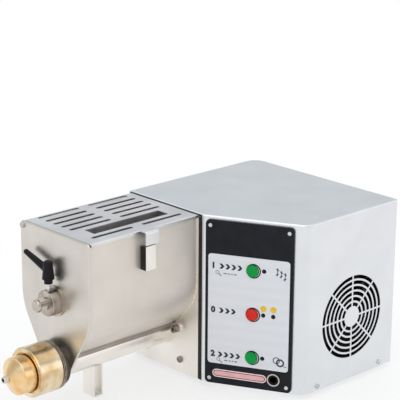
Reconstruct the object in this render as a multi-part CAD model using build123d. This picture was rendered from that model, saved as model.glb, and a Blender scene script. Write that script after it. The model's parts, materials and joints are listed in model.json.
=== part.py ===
from build123d import *
import math
import os

# Electric pasta maker: a mixing tank over an auger barrel with a brass nozzle, carried by a mount
# plate on the front of a drive housing that holds the motor, the gears, the fan and the controls.
#
# Modelling frame, in millimetres: X = 0 on the tank side of the mount plate with +X into the
# housing, Y = 0 on the tank's middle plane with the air grille at -Y, and Z = 0 on the worktop.
# At the end every piece is moved so that the origin is the bottom centre of the whole machine.

# ---- clearances
FIT = 0.05  # radial running clearance of a shaft, a tube or a screw in its hole
AIR = 0.5  # gap between a moving piece and what it passes
PAST = 1.0  # how far a cutting tool runs past the face that it cuts

# ---- heights and axes
FOOT_HEIGHT = 8.0
BARREL_Z = 74.0  # axis of the auger barrel and of the nozzle
MIXER_Z = 176.0  # axis of the mixer shaft

# ---- housing cover, folded from sheet, with a slanted control corner
COVER_SHEET = 1.5
COVER_FRONT = 1.0
HOUSING_BACK = 290.0
HOUSING_TOP = 288.0
TANK_DROP = 2.5  # the tank's rim and the lid lie this far below the top of the housing
GRILLE_SIDE = -241.3  # outer face on the grille side
FAR_SIDE = 83.3  # outer face on the far side
SLANT_START = -90.5  # where the slanted face would meet X = 0
SLANT_END = 80.8  # X where the slanted face meets the grille side
SLANT_FRONT_BEND = 6.0
SLANT_BACK_BEND = 18.0
NEAR_BACK_BEND = 4.5
FAR_BACK_BEND = 22.0
TOP_BEND = 2.5
FRONT_STRIP_EDGE = -89.6  # the cover's front strip starts here, beside the mount plate

# ---- air grille punched in the cover
GRILLE_FROM_BACK = 103.0  # from the back of the housing to the middle of the grille
GRILLE_Z = 113.5
GRILLE_RADIUS = 68.7
GRILLE_PITCH = 9.1
GRILLE_SLOT = 6.0
GRILLE_RINGS = 6
GRILLE_SPOKES = 8
SPOKE_WIDTH = 3.0
HEAD_SLOT = 0.22  # width of a driver slot, as a share of the head's radius
DRIVER_TURN = 40.0  # angle that the driver slots are left at

# ---- mount plate and front frame
PLATE = 3.0
PLATE_NEAR = -82.7
PLATE_FAR = 81.2
PLATE_DROP = 1.0  # from the tank's rim down to the top edge of the mount plate
PLATE_CORNER = 4.0
FRAME = 10.0
FRAME_NEAR = -91.0
PLATE_SCREW_Y = 40.5
PLATE_SCREW_Z = 30.0
PLATE_SCREW_RADIUS = 3.0
PLATE_SCREW_HEAD = 5.4
PLATE_SCREW_RISE = 3.6
SCREW_END_GAP = 3.0  # a screw stops this far inside the front frame

# ---- base tray and feet
TRAY_SHEET = 2.0
TRAY_WALL = 22.0
TRAY_GAP = 0.3
FOOT_RADIUS = 12.0
FOOT_EDGE = 1.5
FOOT_INSET = 42.0
VENT_LENGTH = 60.0
VENT_WIDTH = 6.0
VENT_PITCH = 14.0
VENT_ROWS = 7
VENT_Y = -150.0
COVER_SCREW_RADIUS = 2.0
COVER_SCREW_HEAD = 4.0
COVER_SCREW_RISE = 2.4
COVER_SCREW_PLACES = (110.5, 32.1)  # the first from X = 0, the second from the back
COVER_SCREW_Z = 15.5
FOOT_SCREW_HEAD = 2.5
THREAD_END = 2.0  # length of thread that shows past a nut or a sheet
LOCK_NUT = 3.0

# ---- tank, folded and welded from sheet
TANK_LENGTH = 217.4  # between the mount plate and the end plate
TANK_SHEET = 2.0
TROUGH_HALF = 79.5
TROUGH_NOSE = 5.0
END_PLATE = 3.0
END_HALF = 83.5
END_NOSE = 31.0
END_CORNER = 6.0
END_ROUND = 2.2  # rounding all along the end plate's front edge

# ---- auger barrel
BARREL_RADIUS = 24.0
BARREL_BORE = 21.5
FLANGE = 4.0
FLANGE_RADIUS = 26.5
EAR_RADIUS = 9.0
EAR_REACH = 37.0
EAR_ANGLE = 15.0
EAR_BOLT_RADIUS = 4.0
EAR_BOLT_HEAD = 6.4
EAR_BOLT_RISE = 8.0
EAR_BOLT_KEY = 3.5
COLLAR_RADIUS = 35.0
COLLAR_LENGTH = 43.6
COLLAR_EDGE = 1.0
SHOULDER_RADIUS = 38.8
SHOULDER_LENGTH = 7.8  # behind the ring nut
LEG_X = -148.9
LEG_LENGTH = 18.8
LEG_WIDTH = 25.0
LEG_SHEET = 2.5
LEG_BEND = 1.0

# ---- nozzle
SEAL = 1.0
SEAL_INSET = 2.0
DIE_FLANGE_RADIUS = 34.4
DIE_FLANGE = 7.0
DIE_RADIUS = 29.5
DIE_BODY = 36.0  # from the seal to the foot of the cone
DIE_EDGE = 1.5
DIE_CONE = 13.0
DIE_CONE_TIP = 7.5
DIE_CHAMBER = 20.0
DIE_CHAMBER_LENGTH = 24.0
INSERT_RADIUS = 5.4
INSERT_BORE = 3.2
INSERT_PROUD = 8.0
INSERT_LENGTH = 22.0
INSERT_EDGE = 0.8
NUT_RADIUS = 39.5
NUT_LENGTH = 42.7
NUT_LIP = 7.0
NUT_HOLE = 32.0
NUT_EDGE = 1.5
POCKET_WIDTH = 12.0
POCKET_LENGTH = 20.0
POCKET_DEPTH = 3.2
POCKET_SETBACK = 16.0  # from the nut's front to the middle of a pocket
POCKET_TURN = 12.0  # the upper pocket leans this far towards the grille side

# ---- boss, pull pin and clamping lever on the end plate
BOSS_FLANGE = 3.0
BOSS_FLANGE_RADIUS = 24.2
BOSS = 15.6
BOSS_RADIUS = 20.6
BOSS_EDGE = 1.2
PIN_RADIUS = 5.0
PIN_COLLAR = 3.0
PIN_COLLAR_RADIUS = 9.7
PIN_NECK = 11.1
PIN_NECK_RADIUS = 3.5
PIN_HEAD = 6.0
PIN_HEAD_RADIUS = 10.2
PIN_HEAD_EDGE = 1.0
PIN_ENGAGED = 16.0  # length of the pin inside the mixer shaft
STUD_RADIUS = 3.0
STUD_BACK = 1.2  # the stud stands this far in front of the middle of the boss
HUB_NECK = 7.2
HUB_NECK_RADIUS = 6.6
HUB_RADIUS = 9.6
HUB_TOP_RADIUS = 6.8
HUB_HEIGHT = 28.5
HUB_EDGE = 3.0
HUB_LIFT = 10.6  # from the top of the boss to the lever's underside
ARM_START = 20.2  # from the lever's underside to the middle of the arm's root
ARM_ROOT_RADIUS = 6.2
ARM_RADIUS = 4.2
ARM_REACH = 53.5
ARM_RISE = 16.6

# ---- lid and its hinge
LID_SHEET = 1.5
LID_EDGE = 1.2
LID_GAP = 1.2
LID_NEAR = -81.6
LID_LIP = 5.4
LIP_RELIEF = 2.5  # the lip stops this far short of either end of the lid
HINGE_Y = 76.5
HINGE_ROD = 3.0
HINGE_SLEEVE = 6.2
SLEEVE_DROP = 0.5  # from the lid's top down to the crown of the sleeve
SLEEVE_GAP = 1.6  # between the sleeve and the far wall
HINGE_HEAD = 4.6
HINGE_HEAD_LENGTH = 3.0
HINGE_DEPTH = 3.0  # length of the rod inside the front frame
SLOT_WIDTH = 7.2
SLOT_MARGINS = (20.2, 14.8)  # plain ends of the lid, at the end plate and at the mount plate
SLOT_COLUMN_GAP = 19.6
SLOT_FIRST_ROW = 69.5
SLOT_ROW_PITCH = 19.35
SLOT_ROWS = 5
SLOT_NEAR_ROW = -59.7
FEED_MARGINS = (36.5, 29.7)
FEED_Y = (-46.9, -22.7)
FEED_FLANGE = 14.0  # depth of the flanges folded down along the feed slot

# ---- lid interlock on the near wall
TAB_X = (-119.2, -92.6)
TAB_REACH = 13.7
TAB_BEND = 2.0
TAB_HEIGHT = 21.0
CHANNEL_INSET = 2.3  # the channel is narrower than the tab by this much on each side
CHANNEL_GAP = 3.2  # between the tab's lower edge and the channel
CHANNEL_HEIGHT = 38.6
CHANNEL_DEPTH = 12.7
CHANNEL_SHEET = 1.5
CHANNEL_BEND = 2.0
SENSOR_HEIGHT = 24.0
SENSOR_DEPTH = 9.0
SENSOR_INSET = 2.0
MAGNET_HEIGHT = 12.0
MAGNET_DEPTH = 6.0
MAGNET_INSET = 3.0

# ---- mixer
MIXER_SHAFT = 9.0
MIXER_END_GAP = 3.4
SHAFT_EDGE = 1.0
PADDLE_COUNT = 4
PADDLE_MARGIN = 30.2  # from either end of the tank to the nearest paddle's middle
PADDLE_RADIUS = 74.0
PADDLE_COLLAR = 13.5
PADDLE_COLLAR_LENGTH = 14.0
PADDLE_ARM = 4.5
BLADE_LENGTH = 44.0
BLADE_HEIGHT = 24.0
BLADE = 4.0
BLADE_CORNER = 5.0
BLADE_PITCH = 35.0

# ---- auger
AUGER_CORE = 9.0
AUGER_PITCH = 30.0
AUGER_FLIGHT = 5.0
AUGER_ROOT = 1.5  # how deep the flight is rooted in the core
AUGER_START = -4.0
AUGER_END_GAP = 6.5  # from the auger's tip to the die's seal
AUGER_TIP = 6.0
AUGER_TIP_EDGE = 5.0

# ---- gear train
GEAR_MODULE = 3.0
FINE_MODULE = 1.5
AUGER_TEETH = 32
MIXER_TEETH = 36
SMALL_TEETH = 12
LARGE_TEETH = 72
MOTOR_TEETH = 12
PRESSURE_ANGLE = 20.0
BACKLASH = 0.24
GEAR_X = (18.0, 36.0)
FINE_GEAR_X = (39.0, 47.0)
GEAR_PLATE_X = (52.0, 60.0)
GEAR_PLATE_Y = (-116.0, 78.0)
GEAR_PLATE_FOOT = 34.0
GEAR_PLATE_CORNER = 10.0
MOTOR_Y = -62.0
MOTOR_Z = 120.0
REDUCTION_SHAFT = 7.0
BEARING_RADIUS = 15.0
BEARING_WIDTH = 8.0
SEAL_RADIUS = 14.0
SPACER_RADIUS = 6.0
SPACER_INSET = 12.0
SPACER_PLACES = ((68.0, 62.0), (68.0, 226.0), (-78.0, 62.0))
TOP_SPACER_Y = -12.0
TOP_SPACER_GAP = 3.0  # between the mixer gear's teeth and the spacer above it

# ---- motor
MOTOR_LENGTH = 130.0
MOTOR_SHELL = 53.0
MOTOR_BORE = 46.0
MOTOR_BELL = 12.0
MOTOR_BELL_RADIUS = 57.0
MOTOR_FINS = 18
FIN = 2.5
MOTOR_SHAFT = 6.0
ROTOR_RADIUS = 29.4
STATOR_BORE = 30.0
STATOR_LENGTH = 76.0
MOTOR_BEARING = 14.0
MOTOR_END_WALL = 2.0
MOTOR_HOLE_GAP = 4.0
MOTOR_SHAFT_END_GAP = 3.0

# ---- fan behind the grille
FAN_SIDE = 140.0
FAN_CORNER = 6.0
FAN_DEPTH = 25.0
FAN_STRUT = 4.0
FAN_STRUT_WIDTH = 5.0
FAN_WALL = 2.5  # thinnest wall of the frame, beside its bore
FAN_GAP = 1.0
FAN_BRACKET = 2.0
FAN_BRACKET_LIP = 2.0  # the bracket's hole is smaller than the bore by this much all round
FAN_TOE_MARGIN = 25.0  # the bracket's toe stops this far inside the frame's sides
FAN_TOE_DEPTH = 18.0
FAN_HUB = 25.0
FAN_HUB_EDGE = 3.0
FAN_TIP_GAP = 1.5
FAN_SETBACK = 2.0  # the rotor starts this far behind the frame's face
FAN_BLADES = 7
FAN_BLADE = 2.2
FAN_CHORD = 26.0
FAN_BLADE_PITCH = 38.0
FAN_PIN = 3.0
FAN_SCREW_INSET = 7.75
FAN_SCREW = 2.0
FAN_SCREW_HEAD = 3.8
FAN_SCREW_RISE = 2.2

# ---- electrical pieces
CAPACITOR_Y = 24.0
CAPACITOR_FROM_BACK = 65.0
CAPACITOR_RADIUS = 20.0
CAPACITOR_HEIGHT = 90.0
CAPACITOR_EDGE = 2.0
TAG = (0.8, 6.0, 10.0)  # thickness, width and height of a blade terminal
TAG_SPAN = 12.0
TERMINAL_FROM_BACK = 14.0
TERMINAL_LENGTH = 36.0
TERMINAL_Y = (48.0, 72.0)
TERMINAL_HEIGHT = 22.0
TERMINAL_POLES = 4
TERMINAL_WELL = 5.0
TERMINAL_INSET = 6.0
GLAND_Y = 44.0
GLAND_Z = 42.0
GLAND_BORE = 4.2
GLAND_RADIUS = 9.0
GLAND_NUT = 12.0
GLAND_NUT_LENGTH = 6.0
GLAND_LOCK_NUT = 5.0
GLAND_TAIL = 8.0  # length of the thread inside the back wall
GLAND_REACH = 16.0
GLAND_DOME = 10.0
GLAND_DOME_EDGE = 3.5

# ---- control panel on the slanted face: s along it from X = 0, z up
PANEL = 3.0
PANEL_S = (7.2, 150.1)
PANEL_FOOT = 9.4
PANEL_DROP = 5.5  # from the top of the housing to the panel
PANEL_CORNER = 7.0
PANEL_SCREW_INSET = (7.8, 8.8)
PANEL_SCREW_HEAD = 3.2
PANEL_SCREW_RISE = 1.8
PANEL_SCREW_RADIUS = 1.6
PANEL_SCREW_LENGTH = 8.0
WINDOW_INSET = (16.8, 20.5)
LABEL = 0.5
LABEL_S = (12.0, 144.5)
LABEL_Z = (44.3, 227.7)
LABEL_CORNER = 5.0
BUTTON_S = 84.3
BUTTON_Z = {"mix": 206.3, "stop": 134.1, "extrude": 61.5}
BUTTON_RADIUS = 9.9
BUTTON_PROUD = 3.0
BUTTON_TRAVEL = 2.5
BUTTON_EDGE = 2.0
BUTTON_SEAT = 0.5  # the cap's underside lies this far in front of the cover
BUTTON_STEM = 4.0
BUTTON_STEM_LENGTH = 12.5
SWITCH_RADIUS = 12.5
SWITCH_FLANGE = 14.5
SWITCH_FLANGE_DEPTH = 2.0
SWITCH_DEPTH = 26.0
LED_PLACES = ((102.9, 207.7), (102.7, 135.0), (119.0, 134.8), (102.4, 62.4))
LED_RADIUS = 2.6
LED_LENGTH = 9.0
LED_PROUD = 0.8
SOCKET_S = 121.4
SOCKET_Z = 29.0
SOCKET_RING = 10.6
SOCKET_RADIUS = 8.4
SOCKET_BORE = 5.5
SOCKET_BORE_LENGTH = 14.0
SOCKET_DEPTH = 20.0
SOCKET_PROUD = 2.5
SOCKET_SINK = 0.6  # the socket's face lies this far inside its ring
BOARD = 1.6
BOARD_S = (72.0, 142.0)
BOARD_Z = (40.0, 230.0)
BOARD_CORNER = 2.0

# ---- sizes worked out from those above
END_TOP = HOUSING_TOP - TANK_DROP
LID_TOP = END_TOP
PLATE_TOP = END_TOP - PLATE_DROP
FRAME_TOP = PLATE_TOP - COVER_SHEET
HINGE_Z = LID_TOP - SLEEVE_DROP - HINGE_SLEEVE
NEAR_WALL_TOP = LID_TOP - LID_LIP - AIR
FAR_WALL_TOP = HINGE_Z - HINGE_SLEEVE - SLEEVE_GAP
LID_X = (-TANK_LENGTH + LID_GAP, -LID_GAP)
FEED_X = (LID_X[0] + FEED_MARGINS[0], LID_X[1] - FEED_MARGINS[1])
TAB_BOTTOM = LID_TOP - TAB_HEIGHT
CHANNEL_X = (TAB_X[0] + CHANNEL_INSET, TAB_X[1] - CHANNEL_INSET)
CHANNEL_TOP = TAB_BOTTOM - CHANNEL_GAP
COVER_SCREW_X = (COVER_SCREW_PLACES[0], HOUSING_BACK - COVER_SCREW_PLACES[1])
GRILLE_X = HOUSING_BACK - GRILLE_FROM_BACK
FAN_BORE = FAN_SIDE / 2 - FAN_WALL
FAN_TOE = FAN_SIDE - 2 * FAN_TOE_MARGIN
FAN_SCREW_SPAN = FAN_SIDE - 2 * FAN_SCREW_INSET
TOP_SPACER_Z = MIXER_Z + GEAR_MODULE * (MIXER_TEETH / 2 + 1) + TOP_SPACER_GAP + SPACER_RADIUS
GEAR_PLATE_Z = (GEAR_PLATE_FOOT, TOP_SPACER_Z + SPACER_INSET)
PANEL_Z = (PANEL_FOOT, HOUSING_TOP - PANEL_DROP)
PANEL_SCREW_S = (PANEL_S[0] + PANEL_SCREW_INSET[0], PANEL_S[1] - PANEL_SCREW_INSET[0])
PANEL_SCREW_Z = (PANEL_Z[0] + PANEL_SCREW_INSET[1], PANEL_Z[1] - PANEL_SCREW_INSET[1])
WINDOW_S = (PANEL_S[0] + WINDOW_INSET[0], PANEL_S[1] - WINDOW_INSET[0])
WINDOW_Z = (PANEL_Z[0] + WINDOW_INSET[1], PANEL_Z[1] - WINDOW_INSET[1])
SOCKET_FACE = PANEL + SOCKET_PROUD - SOCKET_SINK
END_FACE = -(TANK_LENGTH + END_PLATE)
COLLAR_FACE = END_FACE - COLLAR_LENGTH
AUGER_LENGTH = AUGER_START - COLLAR_FACE - AUGER_END_GAP - AUGER_TIP
SEAL_FACE = COLLAR_FACE - SEAL
CONE_FOOT = SEAL_FACE - DIE_BODY
CONE_TOP = CONE_FOOT - DIE_CONE
NUT_FRONT = SEAL_FACE - DIE_FLANGE - NUT_LIP
SHOULDER_FACE = NUT_FRONT + NUT_LENGTH + AIR
BOSS_FACE = END_FACE - BOSS_FLANGE - BOSS
LEVER_X = BOSS_FACE + BOSS / 2 - STUD_BACK
LEVER_BASE = MIXER_Z + BOSS_RADIUS + HUB_LIFT
SLANT = Vector(SLANT_END, GRILLE_SIDE - SLANT_START, 0).normalized()
SLANT_FACE = Plane(origin=(0, SLANT_START, 0), x_dir=SLANT, z_dir=(SLANT.Y, -SLANT.X, 0))
FRAME_BACK = PLATE + FRAME
GEAR_PLATE = GEAR_PLATE_X[1] - GEAR_PLATE_X[0]
FLOOR_OF_TRAY = FOOT_HEIGHT + TRAY_SHEET
MOTOR_START = GEAR_PLATE_X[1]
MOTOR_END = MOTOR_START + MOTOR_LENGTH
FAN_FRONT = GRILLE_SIDE + COVER_SHEET + FAN_GAP
FAN_BACK = FAN_FRONT + FAN_DEPTH


def reduction_axis():
    """Place of the reduction shaft: in mesh with the mixer gear and with the motor pinion."""
    to_mixer = GEAR_MODULE * (MIXER_TEETH + SMALL_TEETH) / 2
    to_motor = FINE_MODULE * (LARGE_TEETH + MOTOR_TEETH) / 2
    run = math.hypot(MOTOR_Y, MOTOR_Z - MIXER_Z)
    along = (run**2 + to_mixer**2 - to_motor**2) / (2 * run)
    across = math.sqrt(to_mixer**2 - along**2)
    unit_y, unit_z = MOTOR_Y / run, (MOTOR_Z - MIXER_Z) / run
    return along * unit_y + across * unit_z, MIXER_Z + along * unit_z - across * unit_y


REDUCTION_Y, REDUCTION_Z = reduction_axis()


# ---- shapes used again and again
def rod(radius, x0, x1, y=0.0, z=0.0):
    """Round bar along X."""
    bar = Cylinder(radius, x1 - x0, align=(Align.CENTER, Align.CENTER, Align.MIN))
    return Pos(x0, y, z) * Rot(0, 90, 0) * bar


def ring(outer, inner, x0, x1, y=0.0, z=0.0):
    """Tube along X."""
    return rod(outer, x0, x1, y, z) - rod(inner, x0 - PAST, x1 + PAST, y, z)


def taper(foot, top, x0, length):
    """Cone frustum that narrows from X = x0 towards -X."""
    cone = Cone(foot, top, length, align=(Align.CENTER, Align.CENTER, Align.MIN))
    return Pos(x0, 0, 0) * Rot(0, -90, 0) * cone


def post(radius, z0, z1, x=0.0, y=0.0):
    """Round bar along Z."""
    bar = Cylinder(radius, z1 - z0, align=(Align.CENTER, Align.CENTER, Align.MIN))
    return Pos(x, y, z0) * bar


def cross_rod(radius, y0, y1, x=0.0, z=0.0):
    """Round bar along Y."""
    bar = Cylinder(radius, y1 - y0, align=(Align.CENTER, Align.CENTER, Align.MIN))
    return Pos(x, y0, z) * Rot(-90, 0, 0) * bar


def block(x0, x1, y0, y1, z0, z1):
    """Square block between two corners."""
    return Pos((x0 + x1) / 2, (y0 + y1) / 2, (z0 + z1) / 2) * Box(x1 - x0, y1 - y0, z1 - z0)


def panel_between(spans, x0, x1, corner=0.0):
    """Flat plate in Y and Z with rounded corners, between X = x0 and X = x1."""
    (y0, y1), (z0, z1) = spans
    face = RectangleRounded(y1 - y0, z1 - z0, corner) if corner else Rectangle(y1 - y0, z1 - z0)
    return section(Pos((y0 + y1) / 2, (z0 + z1) / 2) * face, x0, x1)


def section(face, x0, x1):
    """Section drawn in Y and Z, drawn out along X."""
    return extrude(Plane.YZ.offset(x0) * face, amount=x1 - x0)


def on_slant(face, low, high):
    """Face drawn along the slanted panel (s, z), drawn out from depth low to depth high."""
    return extrude(SLANT_FACE.offset(low) * face, amount=high - low)


def slant_rod(radius, s, z, low, high):
    """Round bar square to the slanted panel."""
    return on_slant(Pos(s, z) * Circle(radius), low, high)


def slant_plate(spans, corner, low, high):
    """Plate on the slanted panel with rounded corners."""
    (s0, s1), (z0, z1) = spans
    face = RectangleRounded(s1 - s0, z1 - z0, corner)
    return on_slant(Pos((s0 + s1) / 2, (z0 + z1) / 2) * face, low, high)


def drop_outline(half, nose, top):
    """Tank outline: upright walls, an arc round the mixer axis, and flats down to the barrel."""
    tilt = math.asin((half - nose) / (MIXER_Z - BARREL_Z))
    across, down = math.cos(tilt), math.sin(tilt)
    flats = Polygon(
        (-half * across, MIXER_Z - half * down),
        (-nose * across, BARREL_Z - nose * down),
        (nose * across, BARREL_Z - nose * down),
        (half * across, MIXER_Z - half * down),
        align=None,
    )
    upper = Pos(0, (MIXER_Z + top) / 2) * Rectangle(2 * half, top - MIXER_Z)
    return upper + Pos(0, MIXER_Z) * Circle(half) + flats + Pos(0, BARREL_Z) * Circle(nose)


def slotted_head(radius, height, slot_angle=0.0):
    """Low domed screw head on Z = 0 with a driver slot."""
    head = Cylinder(radius, height, align=(Align.CENTER, Align.CENTER, Align.MIN))
    head = fillet(head.edges().sort_by(Axis.Z)[-1], 0.4 * height)
    slot = Box(2 * radius + PAST, HEAD_SLOT * radius, height, align=(Align.CENTER, Align.CENTER, Align.MIN))
    return head - Pos(0, 0, 0.5 * height) * Rot(0, 0, slot_angle) * slot


def gear(teeth, module, x_span, bore, y, z, turn_deg):
    """Spur gear along X with involute flanks; turn_deg puts the middle of one tooth at that angle."""
    pitch, base = teeth * module / 2, teeth * module / 2 * math.cos(math.radians(PRESSURE_ANGLE))
    tip, root = pitch + module, pitch - 1.25 * module
    half_pitch_tooth = math.pi / (2 * teeth) - BACKLASH / (2 * pitch)

    def half_tooth(radius):
        """Half the angle that a tooth takes up at this radius."""
        roll = math.acos(min(1.0, base / radius))
        start = math.radians(PRESSURE_ANGLE)
        return half_pitch_tooth + (math.tan(start) - start) - (math.tan(roll) - roll)

    outline = []
    for tooth in range(teeth):
        middle = math.radians(turn_deg) + 2 * math.pi * tooth / teeth
        for radius, side in ((root, -1), (pitch, -1), (tip, -1), (tip, 1), (pitch, 1), (root, 1)):
            angle = middle + side * half_tooth(max(radius, base))
            outline.append((radius * math.cos(angle), radius * math.sin(angle)))
    blank = Polygon(*outline, align=None) - Circle(bore)
    return section(Pos(y, z) * blank, *x_span)


# ---- housing
def cover_plan(inset):
    """Plan of the housing cover, moved inwards by inset."""
    slant_y = SLANT_START + COVER_FRONT * SLANT.Y / SLANT.X
    corners = {
        (COVER_FRONT, slant_y): SLANT_FRONT_BEND,
        (SLANT_END, GRILLE_SIDE): SLANT_BACK_BEND,
        (HOUSING_BACK, GRILLE_SIDE): NEAR_BACK_BEND,
        (HOUSING_BACK, FAR_SIDE): FAR_BACK_BEND,
        (COVER_FRONT, FAR_SIDE): 0.0,
    }
    plan = Polygon(*corners, align=None)
    for place, bend in corners.items():
        if bend:
            near = plan.vertices().sort_by_distance((*place, 0))[0]
            plan = fillet(near, bend)
    return offset(plan, amount=-inset) if inset else plan


def grille_slots():
    """Rings of slots round a plain hub disc, parted by spokes."""
    slots = Sketch()
    for turn in range(GRILLE_RINGS):
        outer = GRILLE_RADIUS - turn * GRILLE_PITCH
        slots += Circle(outer) - Circle(outer - GRILLE_SLOT)
    for spoke in range(GRILLE_SPOKES // 2):
        slots -= Rot(0, 0, spoke * 360 / GRILLE_SPOKES) * Rectangle(3 * GRILLE_RADIUS, SPOKE_WIDTH)
    face = Pos(GRILLE_X, GRILLE_Z) * slots
    return extrude(Plane.XZ.offset(-GRILLE_SIDE + PAST) * face, amount=-(COVER_SHEET + 2 * PAST))


def housing_cover():
    outer = extrude(Pos(0, 0, FOOT_HEIGHT) * cover_plan(0), amount=HOUSING_TOP - FOOT_HEIGHT)
    outer = fillet(outer.faces().sort_by(Axis.Z)[-1].edges(), TOP_BEND)
    ceiling = HOUSING_TOP - COVER_SHEET
    hollow = extrude(cover_plan(COVER_SHEET), amount=ceiling)
    front = block(-PAST, 3 * COVER_SHEET, FRONT_STRIP_EDGE, FAR_SIDE - COVER_SHEET, 0, ceiling)
    cover = outer - hollow - front - grille_slots()
    cover -= slant_plate((WINDOW_S, WINDOW_Z), PANEL_CORNER, -3 * COVER_SHEET, PAST)
    for s in PANEL_SCREW_S:
        for z in PANEL_SCREW_Z:
            cover -= slant_rod(PANEL_SCREW_RADIUS + FIT, s, z, -3 * COVER_SHEET, PAST)
    cover -= slant_rod(SOCKET_RADIUS + FIT, SOCKET_S, SOCKET_Z, -3 * COVER_SHEET, PAST)
    for x in COVER_SCREW_X:
        hole = cross_rod(COVER_SCREW_RADIUS + FIT, GRILLE_SIDE - PAST, FAR_SIDE + PAST, x, COVER_SCREW_Z)
        cover -= hole
    return cover - rod(
        GLAND_RADIUS + FIT, HOUSING_BACK - GLAND_TAIL, HOUSING_BACK + PAST, GLAND_Y, GLAND_Z
    )


def base_tray():
    inset = COVER_SHEET + TRAY_GAP
    outer = extrude(Pos(0, 0, FOOT_HEIGHT) * cover_plan(inset), amount=TRAY_WALL)
    inner = extrude(Pos(0, 0, FLOOR_OF_TRAY) * cover_plan(inset + COVER_SHEET), amount=TRAY_WALL)
    tray = outer - inner
    tray -= block(-PAST, FRAME_BACK, 2 * GRILLE_SIDE, 2 * FAR_SIDE, 0, 2 * TRAY_WALL + FOOT_HEIGHT)
    behind_panel = Pos(sum(PANEL_S) / 2, FLOOR_OF_TRAY + TRAY_WALL / 2)
    behind_panel *= Rectangle(PANEL_S[1] - PANEL_S[0], TRAY_WALL)
    tray -= on_slant(behind_panel, -4 * COVER_SHEET, PAST)
    for row in range(VENT_ROWS):
        y = VENT_Y + (row - VENT_ROWS // 2) * VENT_PITCH
        slot = Pos(GRILLE_X, y, FOOT_HEIGHT - PAST) * SlotOverall(VENT_LENGTH, VENT_WIDTH)
        tray -= extrude(slot, amount=TRAY_SHEET + 2 * PAST)
    for x, y in foot_places():
        tray -= post(COVER_SCREW_RADIUS + FIT, 0, FLOOR_OF_TRAY + PAST, x, y)
    for x in COVER_SCREW_X:
        tray -= cross_rod(COVER_SCREW_RADIUS + FIT, GRILLE_SIDE, FAR_SIDE, x, COVER_SCREW_Z)
    return tray


def foot_places():
    """Centres of the four feet, far enough in to stay out of sight."""
    x0, x1 = FRAME_BACK + FOOT_INSET / 2, HOUSING_BACK - FOOT_INSET
    return ((x0, FAR_SIDE - FOOT_INSET), (x1, FAR_SIDE - FOOT_INSET), (x1, GRILLE_SIDE + FOOT_INSET),
            (SLANT_END + FOOT_INSET / 2, GRILLE_SIDE + FOOT_INSET))


def rubber_feet():
    feet = []
    for x, y in foot_places():
        foot = post(FOOT_RADIUS, 0, FOOT_HEIGHT, x, y)
        foot = chamfer(foot.edges().sort_by(Axis.Z)[0], FOOT_EDGE)
        foot -= post(COVER_SCREW_HEAD + FIT, -PAST, FOOT_HEIGHT / 2, x, y)
        feet.append(foot - post(COVER_SCREW_RADIUS + FIT, 0, FOOT_HEIGHT + PAST, x, y))
    return Compound(feet)


def foot_screws():
    screws = []
    for x, y in foot_places():
        head = post(COVER_SCREW_HEAD, FOOT_HEIGHT / 2 - FOOT_SCREW_HEAD, FOOT_HEIGHT / 2, x, y)
        shank = post(COVER_SCREW_RADIUS, FOOT_HEIGHT / 2, FLOOR_OF_TRAY, x, y)
        nut = post(COVER_SCREW_HEAD, FLOOR_OF_TRAY, FLOOR_OF_TRAY + LOCK_NUT, x, y)
        screws.append(head + shank + nut)
    return screws


def cover_screws():
    screws = []
    reach = 2 * COVER_SHEET + TRAY_GAP + THREAD_END
    screw = slotted_head(COVER_SCREW_HEAD, COVER_SCREW_RISE, DRIVER_TURN)
    screw += post(COVER_SCREW_RADIUS, -reach, 0)
    for side, turn in ((GRILLE_SIDE, 90), (FAR_SIDE, -90)):
        for x in COVER_SCREW_X:
            screws.append(Pos(x, side, COVER_SCREW_Z) * Rot(turn, 0, 0) * screw)
    return screws


# ---- mount plate and front frame
def ear_centres():
    """Bolt places on the barrel's rear flange."""
    y = EAR_REACH * math.cos(math.radians(EAR_ANGLE))
    z = BARREL_Z + EAR_REACH * math.sin(math.radians(EAR_ANGLE))
    return ((-y, z), (y, z))


def front_holes(x0, x1):
    """Screw holes that the mount plate shares with the front frame."""
    holes = []
    for y in (-PLATE_SCREW_Y, PLATE_SCREW_Y):
        holes.append(rod(PLATE_SCREW_RADIUS + FIT, x0, x1, y, PLATE_SCREW_Z))
    for y, z in ear_centres():
        holes.append(rod(EAR_BOLT_RADIUS + FIT, x0, x1, y, z))
    return holes


def mount_plate():
    spans = ((PLATE_NEAR, PLATE_FAR), (FOOT_HEIGHT, PLATE_TOP))
    plate = panel_between(spans, 0, PLATE, PLATE_CORNER)
    for z in (MIXER_Z, BARREL_Z):
        plate -= rod(SEAL_RADIUS + FIT, -PAST, PLATE + PAST, 0, z)
    plate -= rod(HINGE_ROD + FIT, -PAST, PLATE + PAST, HINGE_Y, HINGE_Z)
    for hole in front_holes(-PAST, PLATE + PAST):
        plate -= hole
    return plate


def bearing_axes():
    """Shaft radius and axis of every shaft that runs between the two gear plates."""
    return (
        (MIXER_SHAFT, 0.0, MIXER_Z),
        (AUGER_CORE, 0.0, BARREL_Z),
        (REDUCTION_SHAFT, REDUCTION_Y, REDUCTION_Z),
    )


def front_frame():
    frame = panel_between(((FRAME_NEAR, PLATE_FAR), (FOOT_HEIGHT, FRAME_TOP)), PLATE, FRAME_BACK)
    for shaft, y, z in bearing_axes():
        frame -= rod(BEARING_RADIUS + FIT, FRAME_BACK - BEARING_WIDTH, FRAME_BACK + PAST, y, z)
        if y == 0.0:
            frame -= rod(shaft + AIR, PLATE - PAST, FRAME_BACK, y, z)
    frame -= rod(HINGE_ROD + FIT, PLATE - PAST, PLATE + HINGE_DEPTH + PAST, HINGE_Y, HINGE_Z)
    for hole in front_holes(PLATE - PAST, FRAME_BACK - SCREW_END_GAP + PAST):
        frame -= hole
    return frame


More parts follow.
